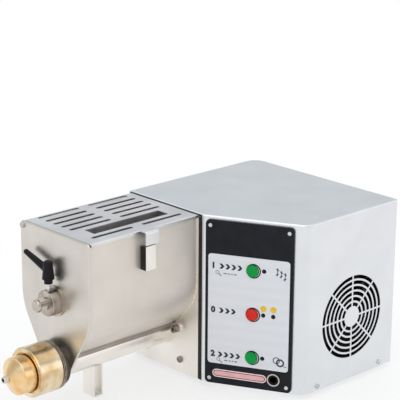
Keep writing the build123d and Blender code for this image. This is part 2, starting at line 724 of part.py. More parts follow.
def plate_screws():
    screws = []
    for y in (-PLATE_SCREW_Y, PLATE_SCREW_Y):
        head = Rot(0, -90, 0) * slotted_head(PLATE_SCREW_HEAD, PLATE_SCREW_RISE, DRIVER_TURN)
        shank = rod(PLATE_SCREW_RADIUS, 0, FRAME_BACK - SCREW_END_GAP)
        screws.append(Pos(0, y, PLATE_SCREW_Z) * (head + shank))
    return screws


def shaft_seals():
    seals = []
    for shaft, y, z in bearing_axes()[:2]:
        seals.append(ring(SEAL_RADIUS, shaft + FIT, 0, PLATE, y, z))
    return Compound(seals)


def gear_bearings():
    bearings = []
    for shaft, y, z in bearing_axes():
        for x0 in (FRAME_BACK - BEARING_WIDTH, GEAR_PLATE_X[0]):
            bearings.append(ring(BEARING_RADIUS, shaft + FIT, x0, x0 + BEARING_WIDTH, y, z))
    return bearings


def gear_plate():
    plate = panel_between((GEAR_PLATE_Y, GEAR_PLATE_Z), *GEAR_PLATE_X, corner=GEAR_PLATE_CORNER)
    for _, y, z in bearing_axes():
        plate -= rod(BEARING_RADIUS + FIT, GEAR_PLATE_X[0] - PAST, GEAR_PLATE_X[1] + PAST, y, z)
    hole = MOTOR_SHAFT + MOTOR_HOLE_GAP
    return plate - rod(hole, GEAR_PLATE_X[0] - PAST, GEAR_PLATE_X[1] + PAST, MOTOR_Y, MOTOR_Z)


def gear_spacers():
    places = [*SPACER_PLACES, (TOP_SPACER_Y, TOP_SPACER_Z)]
    return Compound([rod(SPACER_RADIUS, FRAME_BACK, GEAR_PLATE_X[0], y, z) for y, z in places])


# ---- tank
def trough_space(grow, x0, x1):
    """Inside of the trough, or with grow its outside."""
    face = drop_outline(TROUGH_HALF - TANK_SHEET + grow, TROUGH_NOSE - TANK_SHEET + grow, 2 * END_TOP)
    return section(face, x0, x1)


def tank_trough():
    trough = trough_space(TANK_SHEET, -TANK_LENGTH, 0) - trough_space(0, -TANK_LENGTH - PAST, PAST)
    trough -= block(-TANK_LENGTH - PAST, PAST, -2 * TROUGH_HALF, 0, NEAR_WALL_TOP, 3 * END_TOP)
    trough -= block(-TANK_LENGTH - PAST, PAST, 0, 2 * TROUGH_HALF, FAR_WALL_TOP, 3 * END_TOP)
    return trough - rod(BARREL_RADIUS + FIT, -TANK_LENGTH - PAST, PAST, 0, BARREL_Z)


def tank_end_plate():
    plate = section(drop_outline(END_HALF, END_NOSE, END_TOP), END_FACE, -TANK_LENGTH)
    corners = plate.edges().filter_by(Axis.X).group_by(Axis.Z)[-1]
    plate = fillet(corners, END_CORNER)
    plate = fillet(plate.faces().sort_by(Axis.X)[0].edges(), END_ROUND)
    plate -= rod(BARREL_BORE, END_FACE - PAST, 0, 0, BARREL_Z)
    plate -= rod(PIN_RADIUS + FIT, END_FACE - PAST, 0, 0, MIXER_Z)
    return plate - rod(HINGE_ROD + FIT, END_FACE - PAST, 0, HINGE_Y, HINGE_Z)


def barrel_tube():
    tube = ring(BARREL_RADIUS, BARREL_BORE, -TANK_LENGTH, 0, 0, BARREL_Z)
    return tube - trough_space(0, -TANK_LENGTH - PAST, PAST)


def barrel_flange():
    """Round flange with two bolting ears, cut to sit under the trough."""
    outline = Pos(0, BARREL_Z) * Circle(FLANGE_RADIUS)
    for y, z in ear_centres():
        ear = Pos(y, z) * Circle(EAR_RADIUS)
        root = Pos(0, BARREL_Z) * Circle(EAR_RADIUS)
        outline += make_hull(ear.edges() + root.edges())
    flange = section(outline, -FLANGE, 0)
    flange -= trough_space(TANK_SHEET + FIT, -FLANGE - PAST, PAST)
    flange -= rod(BARREL_RADIUS + FIT, -FLANGE - PAST, PAST, 0, BARREL_Z)
    for y, z in ear_centres():
        flange -= rod(EAR_BOLT_RADIUS + FIT, -FLANGE - PAST, PAST, y, z)
    return flange


def flange_bolts():
    bolts = []
    top = -FLANGE - EAR_BOLT_RISE
    for y, z in ear_centres():
        head = rod(EAR_BOLT_HEAD, top, -FLANGE)
        head -= section(RegularPolygon(EAR_BOLT_KEY, 6), top - PAST, top + EAR_BOLT_RISE / 2)
        shank = rod(EAR_BOLT_RADIUS, -FLANGE, FRAME_BACK - SCREW_END_GAP)
        bolts.append(Pos(0, y, z) * (head + shank))
    return bolts


def barrel_collar():
    """Threaded collar with the shoulder that the ring nut stops at."""
    collar = ring(COLLAR_RADIUS, BARREL_BORE, COLLAR_FACE, END_FACE, 0, BARREL_Z)
    rim = collar.faces().sort_by(Axis.X)[0].edges().sort_by(SortBy.LENGTH)[-1]
    collar = chamfer(rim, COLLAR_EDGE)
    shoulder = rod(SHOULDER_RADIUS, SHOULDER_FACE, SHOULDER_FACE + SHOULDER_LENGTH, 0, BARREL_Z)
    shoulder = chamfer(shoulder.edges().filter_by(GeomType.CIRCLE), COLLAR_EDGE)
    return collar + (shoulder - rod(COLLAR_RADIUS - PAST, COLLAR_FACE, END_FACE, 0, BARREL_Z))


def leg_strap():
    x0, x1 = LEG_X - LEG_LENGTH / 2, LEG_X + LEG_LENGTH / 2
    half = LEG_WIDTH / 2
    strap = block(x0, x1, -half, half, 0, BARREL_Z)
    strap = fillet(strap.edges().filter_by(Axis.Y).group_by(Axis.Z)[0], LEG_SHEET + LEG_BEND)
    inner = block(x0 + LEG_SHEET, x1 - LEG_SHEET, -half - PAST, half + PAST, LEG_SHEET, BARREL_Z + PAST)
    inner = fillet(inner.edges().filter_by(Axis.Y).group_by(Axis.Z)[0], LEG_BEND)
    return strap - inner - rod(BARREL_RADIUS + FIT, x0 - PAST, x1 + PAST, 0, BARREL_Z)


# ---- nozzle
def die_seal():
    return ring(COLLAR_RADIUS - SEAL_INSET, BARREL_BORE, SEAL_FACE, COLLAR_FACE, 0, BARREL_Z)


def die_body():
    flange = rod(DIE_FLANGE_RADIUS, SEAL_FACE - DIE_FLANGE, SEAL_FACE)
    body = rod(DIE_RADIUS, CONE_FOOT, SEAL_FACE)
    body = fillet(body.edges().sort_by(Axis.X)[0], DIE_EDGE)
    cone = taper(DIE_RADIUS - DIE_EDGE, DIE_CONE_TIP, CONE_FOOT, DIE_CONE)
    chamber = rod(DIE_CHAMBER, SEAL_FACE - DIE_CHAMBER_LENGTH, SEAL_FACE + PAST)
    chamber_end = SEAL_FACE - DIE_CHAMBER_LENGTH
    funnel = taper(DIE_CHAMBER, INSERT_RADIUS, chamber_end, DIE_BODY - DIE_CHAMBER_LENGTH)
    hole = rod(INSERT_RADIUS + FIT, CONE_TOP - PAST, SEAL_FACE)
    return Pos(0, 0, BARREL_Z) * (flange + body + cone - chamber - funnel - hole)


def die_insert():
    x0 = CONE_TOP - INSERT_PROUD
    tube = ring(INSERT_RADIUS, INSERT_BORE, x0, x0 + INSERT_LENGTH, 0, BARREL_Z)
    return fillet(tube.faces().sort_by(Axis.X)[0].edges().sort_by(SortBy.LENGTH)[-1], INSERT_EDGE)


def ring_nut():
    nut = rod(NUT_RADIUS, NUT_FRONT, NUT_FRONT + NUT_LENGTH)
    nut = chamfer(nut.edges().group_by(Axis.X)[0] + nut.edges().group_by(Axis.X)[-1], NUT_EDGE)
    nut -= rod(NUT_HOLE, NUT_FRONT - PAST, NUT_FRONT + NUT_LENGTH)
    nut -= rod(COLLAR_RADIUS + AIR / 2, NUT_FRONT + NUT_LIP, NUT_FRONT + NUT_LENGTH + PAST)
    middle = NUT_FRONT + POCKET_SETBACK
    pocket = block(
        middle - POCKET_LENGTH / 2, middle + POCKET_LENGTH / 2, -POCKET_WIDTH / 2, POCKET_WIDTH / 2,
        NUT_RADIUS - POCKET_DEPTH, NUT_RADIUS + PAST,
    )
    for turn in (POCKET_TURN, POCKET_TURN + 180):
        nut -= Rot(turn, 0, 0) * pocket
    return Pos(0, 0, BARREL_Z) * nut


# ---- boss, pull pin and clamping lever
def bearing_boss():
    """Turned boss with a thin welding flange, bored for the pull pin and drilled for the stud."""
    boss = rod(BOSS_RADIUS, BOSS_FACE, BOSS_FACE + BOSS, 0, MIXER_Z)
    boss = fillet(boss.edges().sort_by(Axis.X)[0], BOSS_EDGE)
    boss += rod(BOSS_FLANGE_RADIUS, END_FACE - BOSS_FLANGE, END_FACE, 0, MIXER_Z)
    boss -= rod(PIN_RADIUS + FIT, BOSS_FACE - PAST, 0, 0, MIXER_Z)
    return boss - post(STUD_RADIUS + FIT, MIXER_Z, MIXER_Z + 2 * BOSS_RADIUS, LEVER_X, 0)


def pull_knob():
    collar = rod(PIN_COLLAR_RADIUS, BOSS_FACE - PIN_COLLAR, BOSS_FACE)
    pin = rod(PIN_RADIUS, BOSS_FACE, -TANK_LENGTH + MIXER_END_GAP + PIN_ENGAGED)
    neck = rod(PIN_NECK_RADIUS, BOSS_FACE - PIN_COLLAR - PIN_NECK, BOSS_FACE)
    head_back = BOSS_FACE - PIN_COLLAR - PIN_NECK
    head = rod(PIN_HEAD_RADIUS, head_back - PIN_HEAD, head_back)
    head = fillet(head.edges().sort_by(Axis.X)[0], 0.6 * PIN_HEAD)
    head = fillet(head.edges().sort_by(Axis.X)[-1], PIN_HEAD_EDGE)
    return Pos(0, 0, MIXER_Z) * (collar + pin + neck + head)


def lever_stud():
    bottom = MIXER_Z + PIN_RADIUS + AIR / 2
    return post(STUD_RADIUS, bottom, LEVER_BASE + HUB_HEIGHT / 2, LEVER_X, 0)


def lever_handle():
    neck = post(HUB_NECK_RADIUS, 0, HUB_NECK)
    hub = Pos(0, 0, HUB_NECK) * Cone(
        HUB_RADIUS, HUB_TOP_RADIUS, HUB_HEIGHT, align=(Align.CENTER, Align.CENTER, Align.MIN)
    )
    hub = fillet(hub.edges().sort_by(Axis.Z)[-1], HUB_EDGE)
    length = math.hypot(ARM_REACH, ARM_RISE)
    tilt = math.degrees(math.atan2(ARM_REACH, ARM_RISE))
    arm = Cone(ARM_ROOT_RADIUS, ARM_RADIUS, length, align=(Align.CENTER, Align.CENTER, Align.MIN))
    arm += Pos(0, 0, length) * Sphere(ARM_RADIUS)
    handle = neck + hub + Pos(0, 0, ARM_START) * Rot(-tilt, 0, 0) * arm
    handle -= post(STUD_RADIUS + FIT, -PAST, HUB_HEIGHT / 2 + FIT)
    return Pos(LEVER_X, 0, LEVER_BASE) * handle


# ---- lid
def lid_slots():
    """Middle, length and row of every ventilation slot in the lid."""
    low, high = LID_X[0] + SLOT_MARGINS[0], LID_X[1] - SLOT_MARGINS[1]
    length = (high - low - SLOT_COLUMN_GAP) / 2
    rows = [SLOT_FIRST_ROW - row * SLOT_ROW_PITCH for row in range(SLOT_ROWS)] + [SLOT_NEAR_ROW]
    return [(x, length, y) for x in (low + length / 2, high - length / 2) for y in rows]


def feed_flanges():
    """Sheet folded down along both long edges of the feed slot."""
    near, far = FEED_Y
    bottom, under = LID_TOP - LID_SHEET - FEED_FLANGE, LID_TOP - LID_SHEET / 2
    near_flange = block(*FEED_X, near - LID_SHEET, near, bottom, under)
    return near_flange + block(*FEED_X, far, far + LID_SHEET, bottom, under)


def tank_lid():
    under = LID_TOP - LID_SHEET
    top = block(*LID_X, LID_NEAR, HINGE_Y, under, LID_TOP)
    lip = block(*LID_X, LID_NEAR, LID_NEAR + LID_SHEET, LID_TOP - LID_LIP, LID_TOP)
    edges = (top + lip).edges().filter_by(Axis.X)
    lid = fillet(edges.sort_by_distance((0, LID_NEAR, LID_TOP))[0], LID_EDGE)
    for x in LID_X:
        ends = (x - LIP_RELIEF, x + LIP_RELIEF, LID_NEAR - PAST, LID_NEAR + LID_SHEET + PAST)
        lid -= block(*ends, LID_TOP - LID_LIP - PAST, under)
    lid += rod(HINGE_SLEEVE, *LID_X, HINGE_Y, HINGE_Z)
    lid -= rod(HINGE_ROD + FIT, LID_X[0] - PAST, LID_X[1] + PAST, HINGE_Y, HINGE_Z)
    lid += interlock_tab()
    for x, length, y in lid_slots():
        slot = Pos(x, y, under - PAST) * SlotOverall(length, SLOT_WIDTH)
        lid -= extrude(slot, amount=LID_SHEET + 2 * PAST)
    return lid - block(*FEED_X, *FEED_Y, under - PAST, LID_TOP + PAST) + feed_flanges()


def interlock_tab():
    """Tab folded out from the lid's near edge and down over the interlock."""
    outer_y, inner_y = LID_NEAR - TAB_REACH, LID_NEAR - TAB_REACH + LID_SHEET
    under = LID_TOP - LID_SHEET
    face = Polygon(
        (LID_NEAR + PAST, LID_TOP), (outer_y, LID_TOP), (outer_y, TAB_BOTTOM), (inner_y, TAB_BOTTOM),
        (inner_y, under), (LID_NEAR + PAST, under), align=None,
    )
    face = fillet(face.vertices().sort_by_distance((outer_y, LID_TOP, 0))[0], TAB_BEND + LID_SHEET)
    face = fillet(face.vertices().sort_by_distance((inner_y, under, 0))[0], TAB_BEND)
    return section(face, *TAB_X)


def lid_magnet():
    face_y = LID_NEAR - TAB_REACH + LID_SHEET
    x0, x1 = CHANNEL_X[0] + MAGNET_INSET, CHANNEL_X[1] - MAGNET_INSET
    bottom = TAB_BOTTOM + CHANNEL_GAP
    return block(x0, x1, face_y, face_y + MAGNET_DEPTH, bottom, bottom + MAGNET_HEIGHT)


def lid_hinge_rod():
    bar = rod(HINGE_ROD, END_FACE - PAST, PLATE + HINGE_DEPTH)
    head = rod(HINGE_HEAD, END_FACE - HINGE_HEAD_LENGTH, END_FACE)
    head = fillet(head.edges().sort_by(Axis.X)[0], HINGE_HEAD_LENGTH / 3)
    return Pos(0, HINGE_Y, HINGE_Z) * (bar + head)


def interlock_channel():
    """C section welded to the near wall, open towards the nozzle end."""
    wall, bottom = -TROUGH_HALF, CHANNEL_TOP - CHANNEL_HEIGHT
    outer = block(*CHANNEL_X, wall - CHANNEL_DEPTH, wall, bottom, CHANNEL_TOP)
    inner = block(
        CHANNEL_X[0] - PAST, CHANNEL_X[1] - CHANNEL_SHEET, wall - CHANNEL_DEPTH + CHANNEL_SHEET,
        wall - CHANNEL_SHEET, bottom - PAST, CHANNEL_TOP + PAST,
    )
    bend = outer.edges().filter_by(Axis.Z).sort_by_distance((0, -2 * TROUGH_HALF, 0))[0]
    return fillet(bend, CHANNEL_BEND) - inner


def interlock_sensor():
    near = -TROUGH_HALF - CHANNEL_DEPTH + CHANNEL_SHEET
    x0, x1 = CHANNEL_X[0] + SENSOR_INSET, CHANNEL_X[1] - CHANNEL_SHEET
    top = CHANNEL_TOP - CHANNEL_GAP
    return block(x0, x1, near, near + SENSOR_DEPTH, top - SENSOR_HEIGHT, top)


# ---- mixer
def mixer_shaft():
    front = -TANK_LENGTH + MIXER_END_GAP
    shaft = rod(MIXER_SHAFT, front, GEAR_PLATE_X[1], 0, MIXER_Z)
    shaft = chamfer(shaft.edges().sort_by(Axis.X)[0], SHAFT_EDGE)
    return shaft - rod(PIN_RADIUS + FIT, front - PAST, front + PIN_ENGAGED + 2 * PAST, 0, MIXER_Z)


def mixer_paddles():
    """Arms with pitched blades, on alternate sides of the shaft."""
    first = -TANK_LENGTH + PADDLE_MARGIN
    step = (-PADDLE_MARGIN - first) / (PADDLE_COUNT - 1)
    paddles = []
    for number in range(PADDLE_COUNT):
        collar = rod(PADDLE_COLLAR, -PADDLE_COLLAR_LENGTH / 2, PADDLE_COLLAR_LENGTH / 2)
        arm = post(PADDLE_ARM, MIXER_SHAFT + PAST, PADDLE_RADIUS - BLADE_HEIGHT / 2)
        blade = Box(BLADE_LENGTH, BLADE, BLADE_HEIGHT, align=(Align.CENTER, Align.CENTER, Align.MAX))
        blade = fillet(blade.edges().filter_by(Axis.Y), BLADE_CORNER)
        pitch = BLADE_PITCH if number % 2 else -BLADE_PITCH
        blade = Pos(0, 0, PADDLE_RADIUS) * Rot(0, 0, pitch) * blade
        blade &= rod(PADDLE_RADIUS, -BLADE_LENGTH, BLADE_LENGTH)
        paddle = collar + arm + blade - rod(MIXER_SHAFT + FIT, -PADDLE_COLLAR_LENGTH, PADDLE_COLLAR_LENGTH)
        turn = Rot(180 * (number % 2), 0, 0)
        paddles.append(Pos(first + number * step, 0, MIXER_Z) * turn * paddle)
    return Compound(paddles)


# ---- auger
def auger_screw():
    """Core bar with one helical flight, and the drive shaft that runs back to the gears."""
    core = rod(AUGER_CORE, AUGER_START - AUGER_LENGTH - AUGER_TIP, GEAR_PLATE_X[1])
    core = chamfer(core.edges().sort_by(Axis.X)[0], AUGER_TIP_EDGE)
    inner = AUGER_CORE - AUGER_ROOT
    outer = BARREL_BORE - AIR
    path = Helix(pitch=AUGER_PITCH, height=AUGER_LENGTH, radius=inner)
    profile = Plane(origin=path @ 0, x_dir=(1, 0, 0), z_dir=path % 0)
    face = profile * Pos((outer - inner) / 2, 0) * Rectangle(outer - inner, AUGER_FLIGHT)
    flight = sweep(face, path=path, is_frenet=True)
    flight = Pos(AUGER_START, 0, 0) * Rot(0, -90, 0) * flight
    return Pos(0, 0, BARREL_Z) * (core + flight)


# ---- gears
def mesh_angle(y, z, other_y, other_z):
    """Angle from one gear's centre to the centre of the gear that it drives."""
    return math.degrees(math.atan2(other_z - z, other_y - y))


def gears():
    """All gears by name, turned so that every tooth faces a gap at rest."""
    to_small = mesh_angle(0, MIXER_Z, REDUCTION_Y, REDUCTION_Z)
    to_motor = mesh_angle(REDUCTION_Y, REDUCTION_Z, MOTOR_Y, MOTOR_Z)
    mixer_turn = -90.0
    mixer_pitch, small_pitch = 360 / MIXER_TEETH, 360 / SMALL_TEETH
    off = (to_small - mixer_turn) / mixer_pitch
    small_turn = to_small + 180 + small_pitch / 2 + (off - math.floor(off)) * small_pitch
    return {
        "mixer_gear": gear(MIXER_TEETH, GEAR_MODULE, GEAR_X, MIXER_SHAFT + FIT, 0, MIXER_Z, mixer_turn),
        "auger_gear": gear(
            AUGER_TEETH, GEAR_MODULE, GEAR_X, AUGER_CORE + FIT, 0, BARREL_Z, 90 + 180 / AUGER_TEETH
        ),
        "reduction_pinion": gear(
            SMALL_TEETH, GEAR_MODULE, GEAR_X, REDUCTION_SHAFT + FIT, REDUCTION_Y, REDUCTION_Z, small_turn
        ),
        "reduction_gear": gear(
            LARGE_TEETH, FINE_MODULE, FINE_GEAR_X, REDUCTION_SHAFT + FIT, REDUCTION_Y, REDUCTION_Z, to_motor
        ),
        "motor_pinion": gear(
            MOTOR_TEETH, FINE_MODULE, FINE_GEAR_X, MOTOR_SHAFT + FIT, MOTOR_Y, MOTOR_Z,
            to_motor + 180 + 180 / MOTOR_TEETH,
        ),
    }


def reduction_shaft():
    return rod(REDUCTION_SHAFT, FRAME_BACK - BEARING_WIDTH, GEAR_PLATE_X[1], REDUCTION_Y, REDUCTION_Z)


# ---- motor
def motor_casing():
    """Finned shell between two end bells, bolted to the gear plate."""
    shell = rod(MOTOR_SHELL, MOTOR_START, MOTOR_END)
    for number in range(MOTOR_FINS):
        fin = block(MOTOR_START + MOTOR_BELL, MOTOR_END - MOTOR_BELL, -FIN / 2, FIN / 2, 0, MOTOR_BELL_RADIUS)
        shell += Rot(number * 360 / MOTOR_FINS, 0, 0) * fin
    for x0 in (MOTOR_START, MOTOR_END - MOTOR_BELL):
        shell += rod(MOTOR_BELL_RADIUS, x0, x0 + MOTOR_BELL)
    shell -= rod(MOTOR_BORE, MOTOR_START + MOTOR_BELL, MOTOR_END - MOTOR_BELL)
    shell -= rod(MOTOR_BEARING + FIT, MOTOR_START - PAST, MOTOR_END - MOTOR_END_WALL)
    return Pos(0, MOTOR_Y, MOTOR_Z) * shell


def stator_span():
    middle = (MOTOR_START + MOTOR_END) / 2
    return middle - STATOR_LENGTH / 2, middle + STATOR_LENGTH / 2


def motor_stator():
    return ring(MOTOR_BORE - FIT, STATOR_BORE, *stator_span(), MOTOR_Y, MOTOR_Z)


def motor_rotor():
    return ring(ROTOR_RADIUS, MOTOR_SHAFT + FIT, *stator_span(), MOTOR_Y, MOTOR_Z)


def motor_bearings():
    bearings = []
    width = MOTOR_BELL - MOTOR_END_WALL
    for x0 in (MOTOR_START, MOTOR_END - MOTOR_BELL):
        bearings.append(ring(MOTOR_BEARING, MOTOR_SHAFT + FIT, x0, x0 + width, MOTOR_Y, MOTOR_Z))
    return bearings


def motor_shaft():
    return rod(MOTOR_SHAFT, FINE_GEAR_X[0] - PAST, MOTOR_END - MOTOR_SHAFT_END_GAP, MOTOR_Y, MOTOR_Z)


# ---- fan
def fan_frame():
    half = FAN_SIDE / 2
    frame = block(-half, half, FAN_FRONT, FAN_BACK, -half, half)
    frame = fillet(frame.edges().filter_by(Axis.Y), FAN_CORNER)
    frame -= cross_rod(FAN_BORE, FAN_FRONT - PAST, FAN_BACK + PAST)
    hub_front = FAN_BACK - FAN_STRUT
    hub = cross_rod(FAN_HUB, hub_front, FAN_BACK)
    for number in range(4):
        width = FAN_STRUT_WIDTH / 2
        strut = block(0, FAN_BORE + PAST, hub_front, FAN_BACK, -width, width)
        hub += Rot(0, 45 + 90 * number, 0) * strut
    frame += hub
    frame -= cross_rod(FAN_PIN + FIT, hub_front - PAST, FAN_BACK + PAST)
    for x in (-FAN_SCREW_SPAN / 2, FAN_SCREW_SPAN / 2):
        for z in (-FAN_SCREW_SPAN / 2, FAN_SCREW_SPAN / 2):
            frame -= cross_rod(FAN_SCREW + FIT, FAN_FRONT - PAST, FAN_BACK + PAST, x, z)
    return Pos(GRILLE_X, 0, GRILLE_Z) * frame


def fan_rotor():
    front, back = FAN_FRONT + FAN_SETBACK, FAN_BACK - FAN_STRUT - PAST
    hub = cross_rod(FAN_HUB, front, back)
    hub = fillet(hub.edges().sort_by(Axis.Y)[0], FAN_HUB_EDGE)
    blades = Part()
    for number in range(FAN_BLADES):
        blade = block(FAN_HUB - PAST, FAN_BORE, -FAN_BLADE / 2, FAN_BLADE / 2, -FAN_CHORD / 2, FAN_CHORD / 2)
        blade = Pos(0, (front + back) / 2, 0) * Rot(FAN_BLADE_PITCH, 0, 0) * blade
        blades += Rot(0, number * 360 / FAN_BLADES, 0) * blade
    blades &= cross_rod(FAN_BORE - FAN_TIP_GAP, front, back)
    pin = cross_rod(FAN_PIN, back, FAN_BACK - PAST)
    return Pos(GRILLE_X, 0, GRILLE_Z) * (hub + blades + pin)


def fan_bracket():
    half = FAN_SIDE / 2
    low = FLOOR_OF_TRAY - GRILLE_Z
    sheet = block(-half, half, FAN_BACK, FAN_BACK + FAN_BRACKET, low, half)
    sheet -= cross_rod(FAN_BORE - FAN_BRACKET_LIP, FAN_BACK - PAST, FAN_BACK + FAN_BRACKET + PAST)
    toe = FAN_TOE / 2
    sheet += block(-toe, toe, FAN_BACK, FAN_BACK + FAN_TOE_DEPTH, low, low + FAN_BRACKET)
    for x in (-FAN_SCREW_SPAN / 2, FAN_SCREW_SPAN / 2):
        for z in (-FAN_SCREW_SPAN / 2, FAN_SCREW_SPAN / 2):
            sheet -= cross_rod(FAN_SCREW + FIT, FAN_BACK - PAST, FAN_BACK + FAN_BRACKET + PAST, x, z)
    return Pos(GRILLE_X, 0, GRILLE_Z) * sheet


def fan_screws():
    screws = []
    for x in (-FAN_SCREW_SPAN / 2, FAN_SCREW_SPAN / 2):
        for z in (-FAN_SCREW_SPAN / 2, FAN_SCREW_SPAN / 2):
            seat = FAN_BACK + FAN_BRACKET
            shank = cross_rod(FAN_SCREW, FAN_FRONT + THREAD_END, seat)
            head = cross_rod(FAN_SCREW_HEAD, seat, seat + FAN_SCREW_RISE)
            screws.append(Pos(GRILLE_X + x, 0, GRILLE_Z + z) * (shank + head))
    return screws


# ---- electrical pieces
def capacitor():
    top = FLOOR_OF_TRAY + CAPACITOR_HEIGHT
    can = post(CAPACITOR_RADIUS, FLOOR_OF_TRAY, top)
    can = fillet(can.edges().sort_by(Axis.Z)[-1], CAPACITOR_EDGE)
    tag = Box(*TAG, align=(Align.CENTER, Align.CENTER, Align.MIN))
    for x in (-TAG_SPAN / 2, TAG_SPAN / 2):
        can += Pos(x, 0, top - PAST) * tag
    return Pos(HOUSING_BACK - CAPACITOR_FROM_BACK, CAPACITOR_Y, 0) * can


def terminal_block():
    x1 = HOUSING_BACK - TERMINAL_FROM_BACK
    x0 = x1 - TERMINAL_LENGTH
    top = FLOOR_OF_TRAY + TERMINAL_HEIGHT
    body = block(x0, x1, *TERMINAL_Y, FLOOR_OF_TRAY, top)
    pitch = TERMINAL_LENGTH / TERMINAL_POLES
    for pole in range(TERMINAL_POLES):
        for y in (TERMINAL_Y[0] + TERMINAL_INSET, TERMINAL_Y[1] - TERMINAL_INSET):
            body -= post(0.3 * pitch, top - TERMINAL_WELL, top + PAST, x0 + (pole + 0.5) * pitch, y)
    return body


def cable_gland():
    """Gland through the back wall: a nut outside, a lock nut inside and a bore for the lead."""
    wall = HOUSING_BACK - COVER_SHEET
    end = HOUSING_BACK + GLAND_REACH
    dome_foot = HOUSING_BACK + GLAND_NUT_LENGTH
    thread = rod(GLAND_RADIUS, HOUSING_BACK - GLAND_TAIL - COVER_SHEET, dome_foot)
    hexagon = RegularPolygon(GLAND_NUT, 6)
    nuts = section(hexagon, wall - GLAND_LOCK_NUT, wall) + section(hexagon, HOUSING_BACK, dome_foot)
    dome = rod(GLAND_DOME, dome_foot, end)
    dome = fillet(dome.edges().sort_by(Axis.X)[-1], GLAND_DOME_EDGE)
    gland = thread + nuts + dome
    gland -= rod(GLAND_BORE, wall - GLAND_TAIL - PAST, end + PAST)
    return Pos(0, GLAND_Y, GLAND_Z) * gland


# ---- controls
def control_panel():
    panel = slant_plate((PANEL_S, PANEL_Z), PANEL_CORNER, 0, PANEL)
    for s in PANEL_SCREW_S:
        for z in PANEL_SCREW_Z:
            panel -= slant_rod(PANEL_SCREW_RADIUS + FIT, s, z, -PAST, PANEL + PAST)
    for z in BUTTON_Z.values():
        panel -= slant_rod(BUTTON_RADIUS + AIR, BUTTON_S, z, -PAST, PANEL + PAST)
    for s, z in LED_PLACES:
        panel -= slant_rod(LED_RADIUS + FIT, s, z, -PAST, PANEL + PAST)
    return panel - slant_rod(SOCKET_RADIUS + FIT, SOCKET_S, SOCKET_Z, -PAST, PANEL + PAST)


def panel_label():
    label = slant_plate((LABEL_S, LABEL_Z), LABEL_CORNER, PANEL, PANEL + LABEL)
    for z in BUTTON_Z.values():
        label -= slant_rod(BUTTON_RADIUS + AIR, BUTTON_S, z, PANEL - PAST, PANEL + LABEL + PAST)
    for s, z in LED_PLACES:
        label -= slant_rod(LED_RADIUS + FIT, s, z, PANEL - PAST, PANEL + LABEL + PAST)
    return label


def panel_screws():
    screws = []
    for number, s in enumerate(PANEL_SCREW_S):
        for z in PANEL_SCREW_Z:
            place = SLANT_FACE.offset(PANEL).location * Pos(s, z, 0)
            screw = slotted_head(PANEL_SCREW_HEAD, PANEL_SCREW_RISE, (1 + number) * DRIVER_TURN)
            screws.append(place * (screw + post(PANEL_SCREW_RADIUS, -PANEL_SCREW_LENGTH, 0)))
    return Compound(screws)


def button(z):
    """Push button cap with its stem."""
    cap = slant_rod(BUTTON_RADIUS, BUTTON_S, z, BUTTON_SEAT, PANEL + LABEL + BUTTON_PROUD)
    outward = Axis((0, 0, 0), SLANT_FACE.z_dir)
    cap = fillet(cap.edges().sort_by(outward)[-1], BUTTON_EDGE)
    return cap + slant_rod(BUTTON_STEM, BUTTON_S, z, BUTTON_SEAT - BUTTON_STEM_LENGTH, BUTTON_SEAT)


def button_switches():
    """Switch bodies behind the panel, each a cup with a guide for the button's stem."""
    switches = []
    seat = BUTTON_SEAT - BUTTON_TRAVEL - AIR
    for z in BUTTON_Z.values():
        body = slant_rod(SWITCH_RADIUS, BUTTON_S, z, -SWITCH_DEPTH, 0)
        body += slant_rod(SWITCH_FLANGE, BUTTON_S, z, -SWITCH_FLANGE_DEPTH, 0)
        body -= slant_rod(BUTTON_RADIUS + AIR, BUTTON_S, z, seat, PAST)
        switches.append(body - slant_rod(BUTTON_STEM + FIT, BUTTON_S, z, seat - BUTTON_STEM_LENGTH, 0))
    return Compound(switches)


def led_lenses():
    top = PANEL + LABEL + LED_PROUD
    return Compound([slant_rod(LED_RADIUS, s, z, top - LED_LENGTH, top) for s, z in LED_PLACES])


def socket_ring():
    top = PANEL + SOCKET_PROUD
    nut = slant_rod(SOCKET_RING, SOCKET_S, SOCKET_Z, PANEL, top)
    return nut - slant_rod(SOCKET_RADIUS + FIT, SOCKET_S, SOCKET_Z, PANEL - PAST, top + PAST)


def socket_body():
    body = slant_rod(SOCKET_RADIUS, SOCKET_S, SOCKET_Z, -SOCKET_DEPTH, SOCKET_FACE)
    bottom = SOCKET_FACE - SOCKET_BORE_LENGTH
    return body - slant_rod(SOCKET_BORE, SOCKET_S, SOCKET_Z, bottom, SOCKET_FACE + PAST)


def control_board():
    return slant_plate((BOARD_S, BOARD_Z), BOARD_CORNER, -SWITCH_DEPTH - BOARD, -SWITCH_DEPTH)


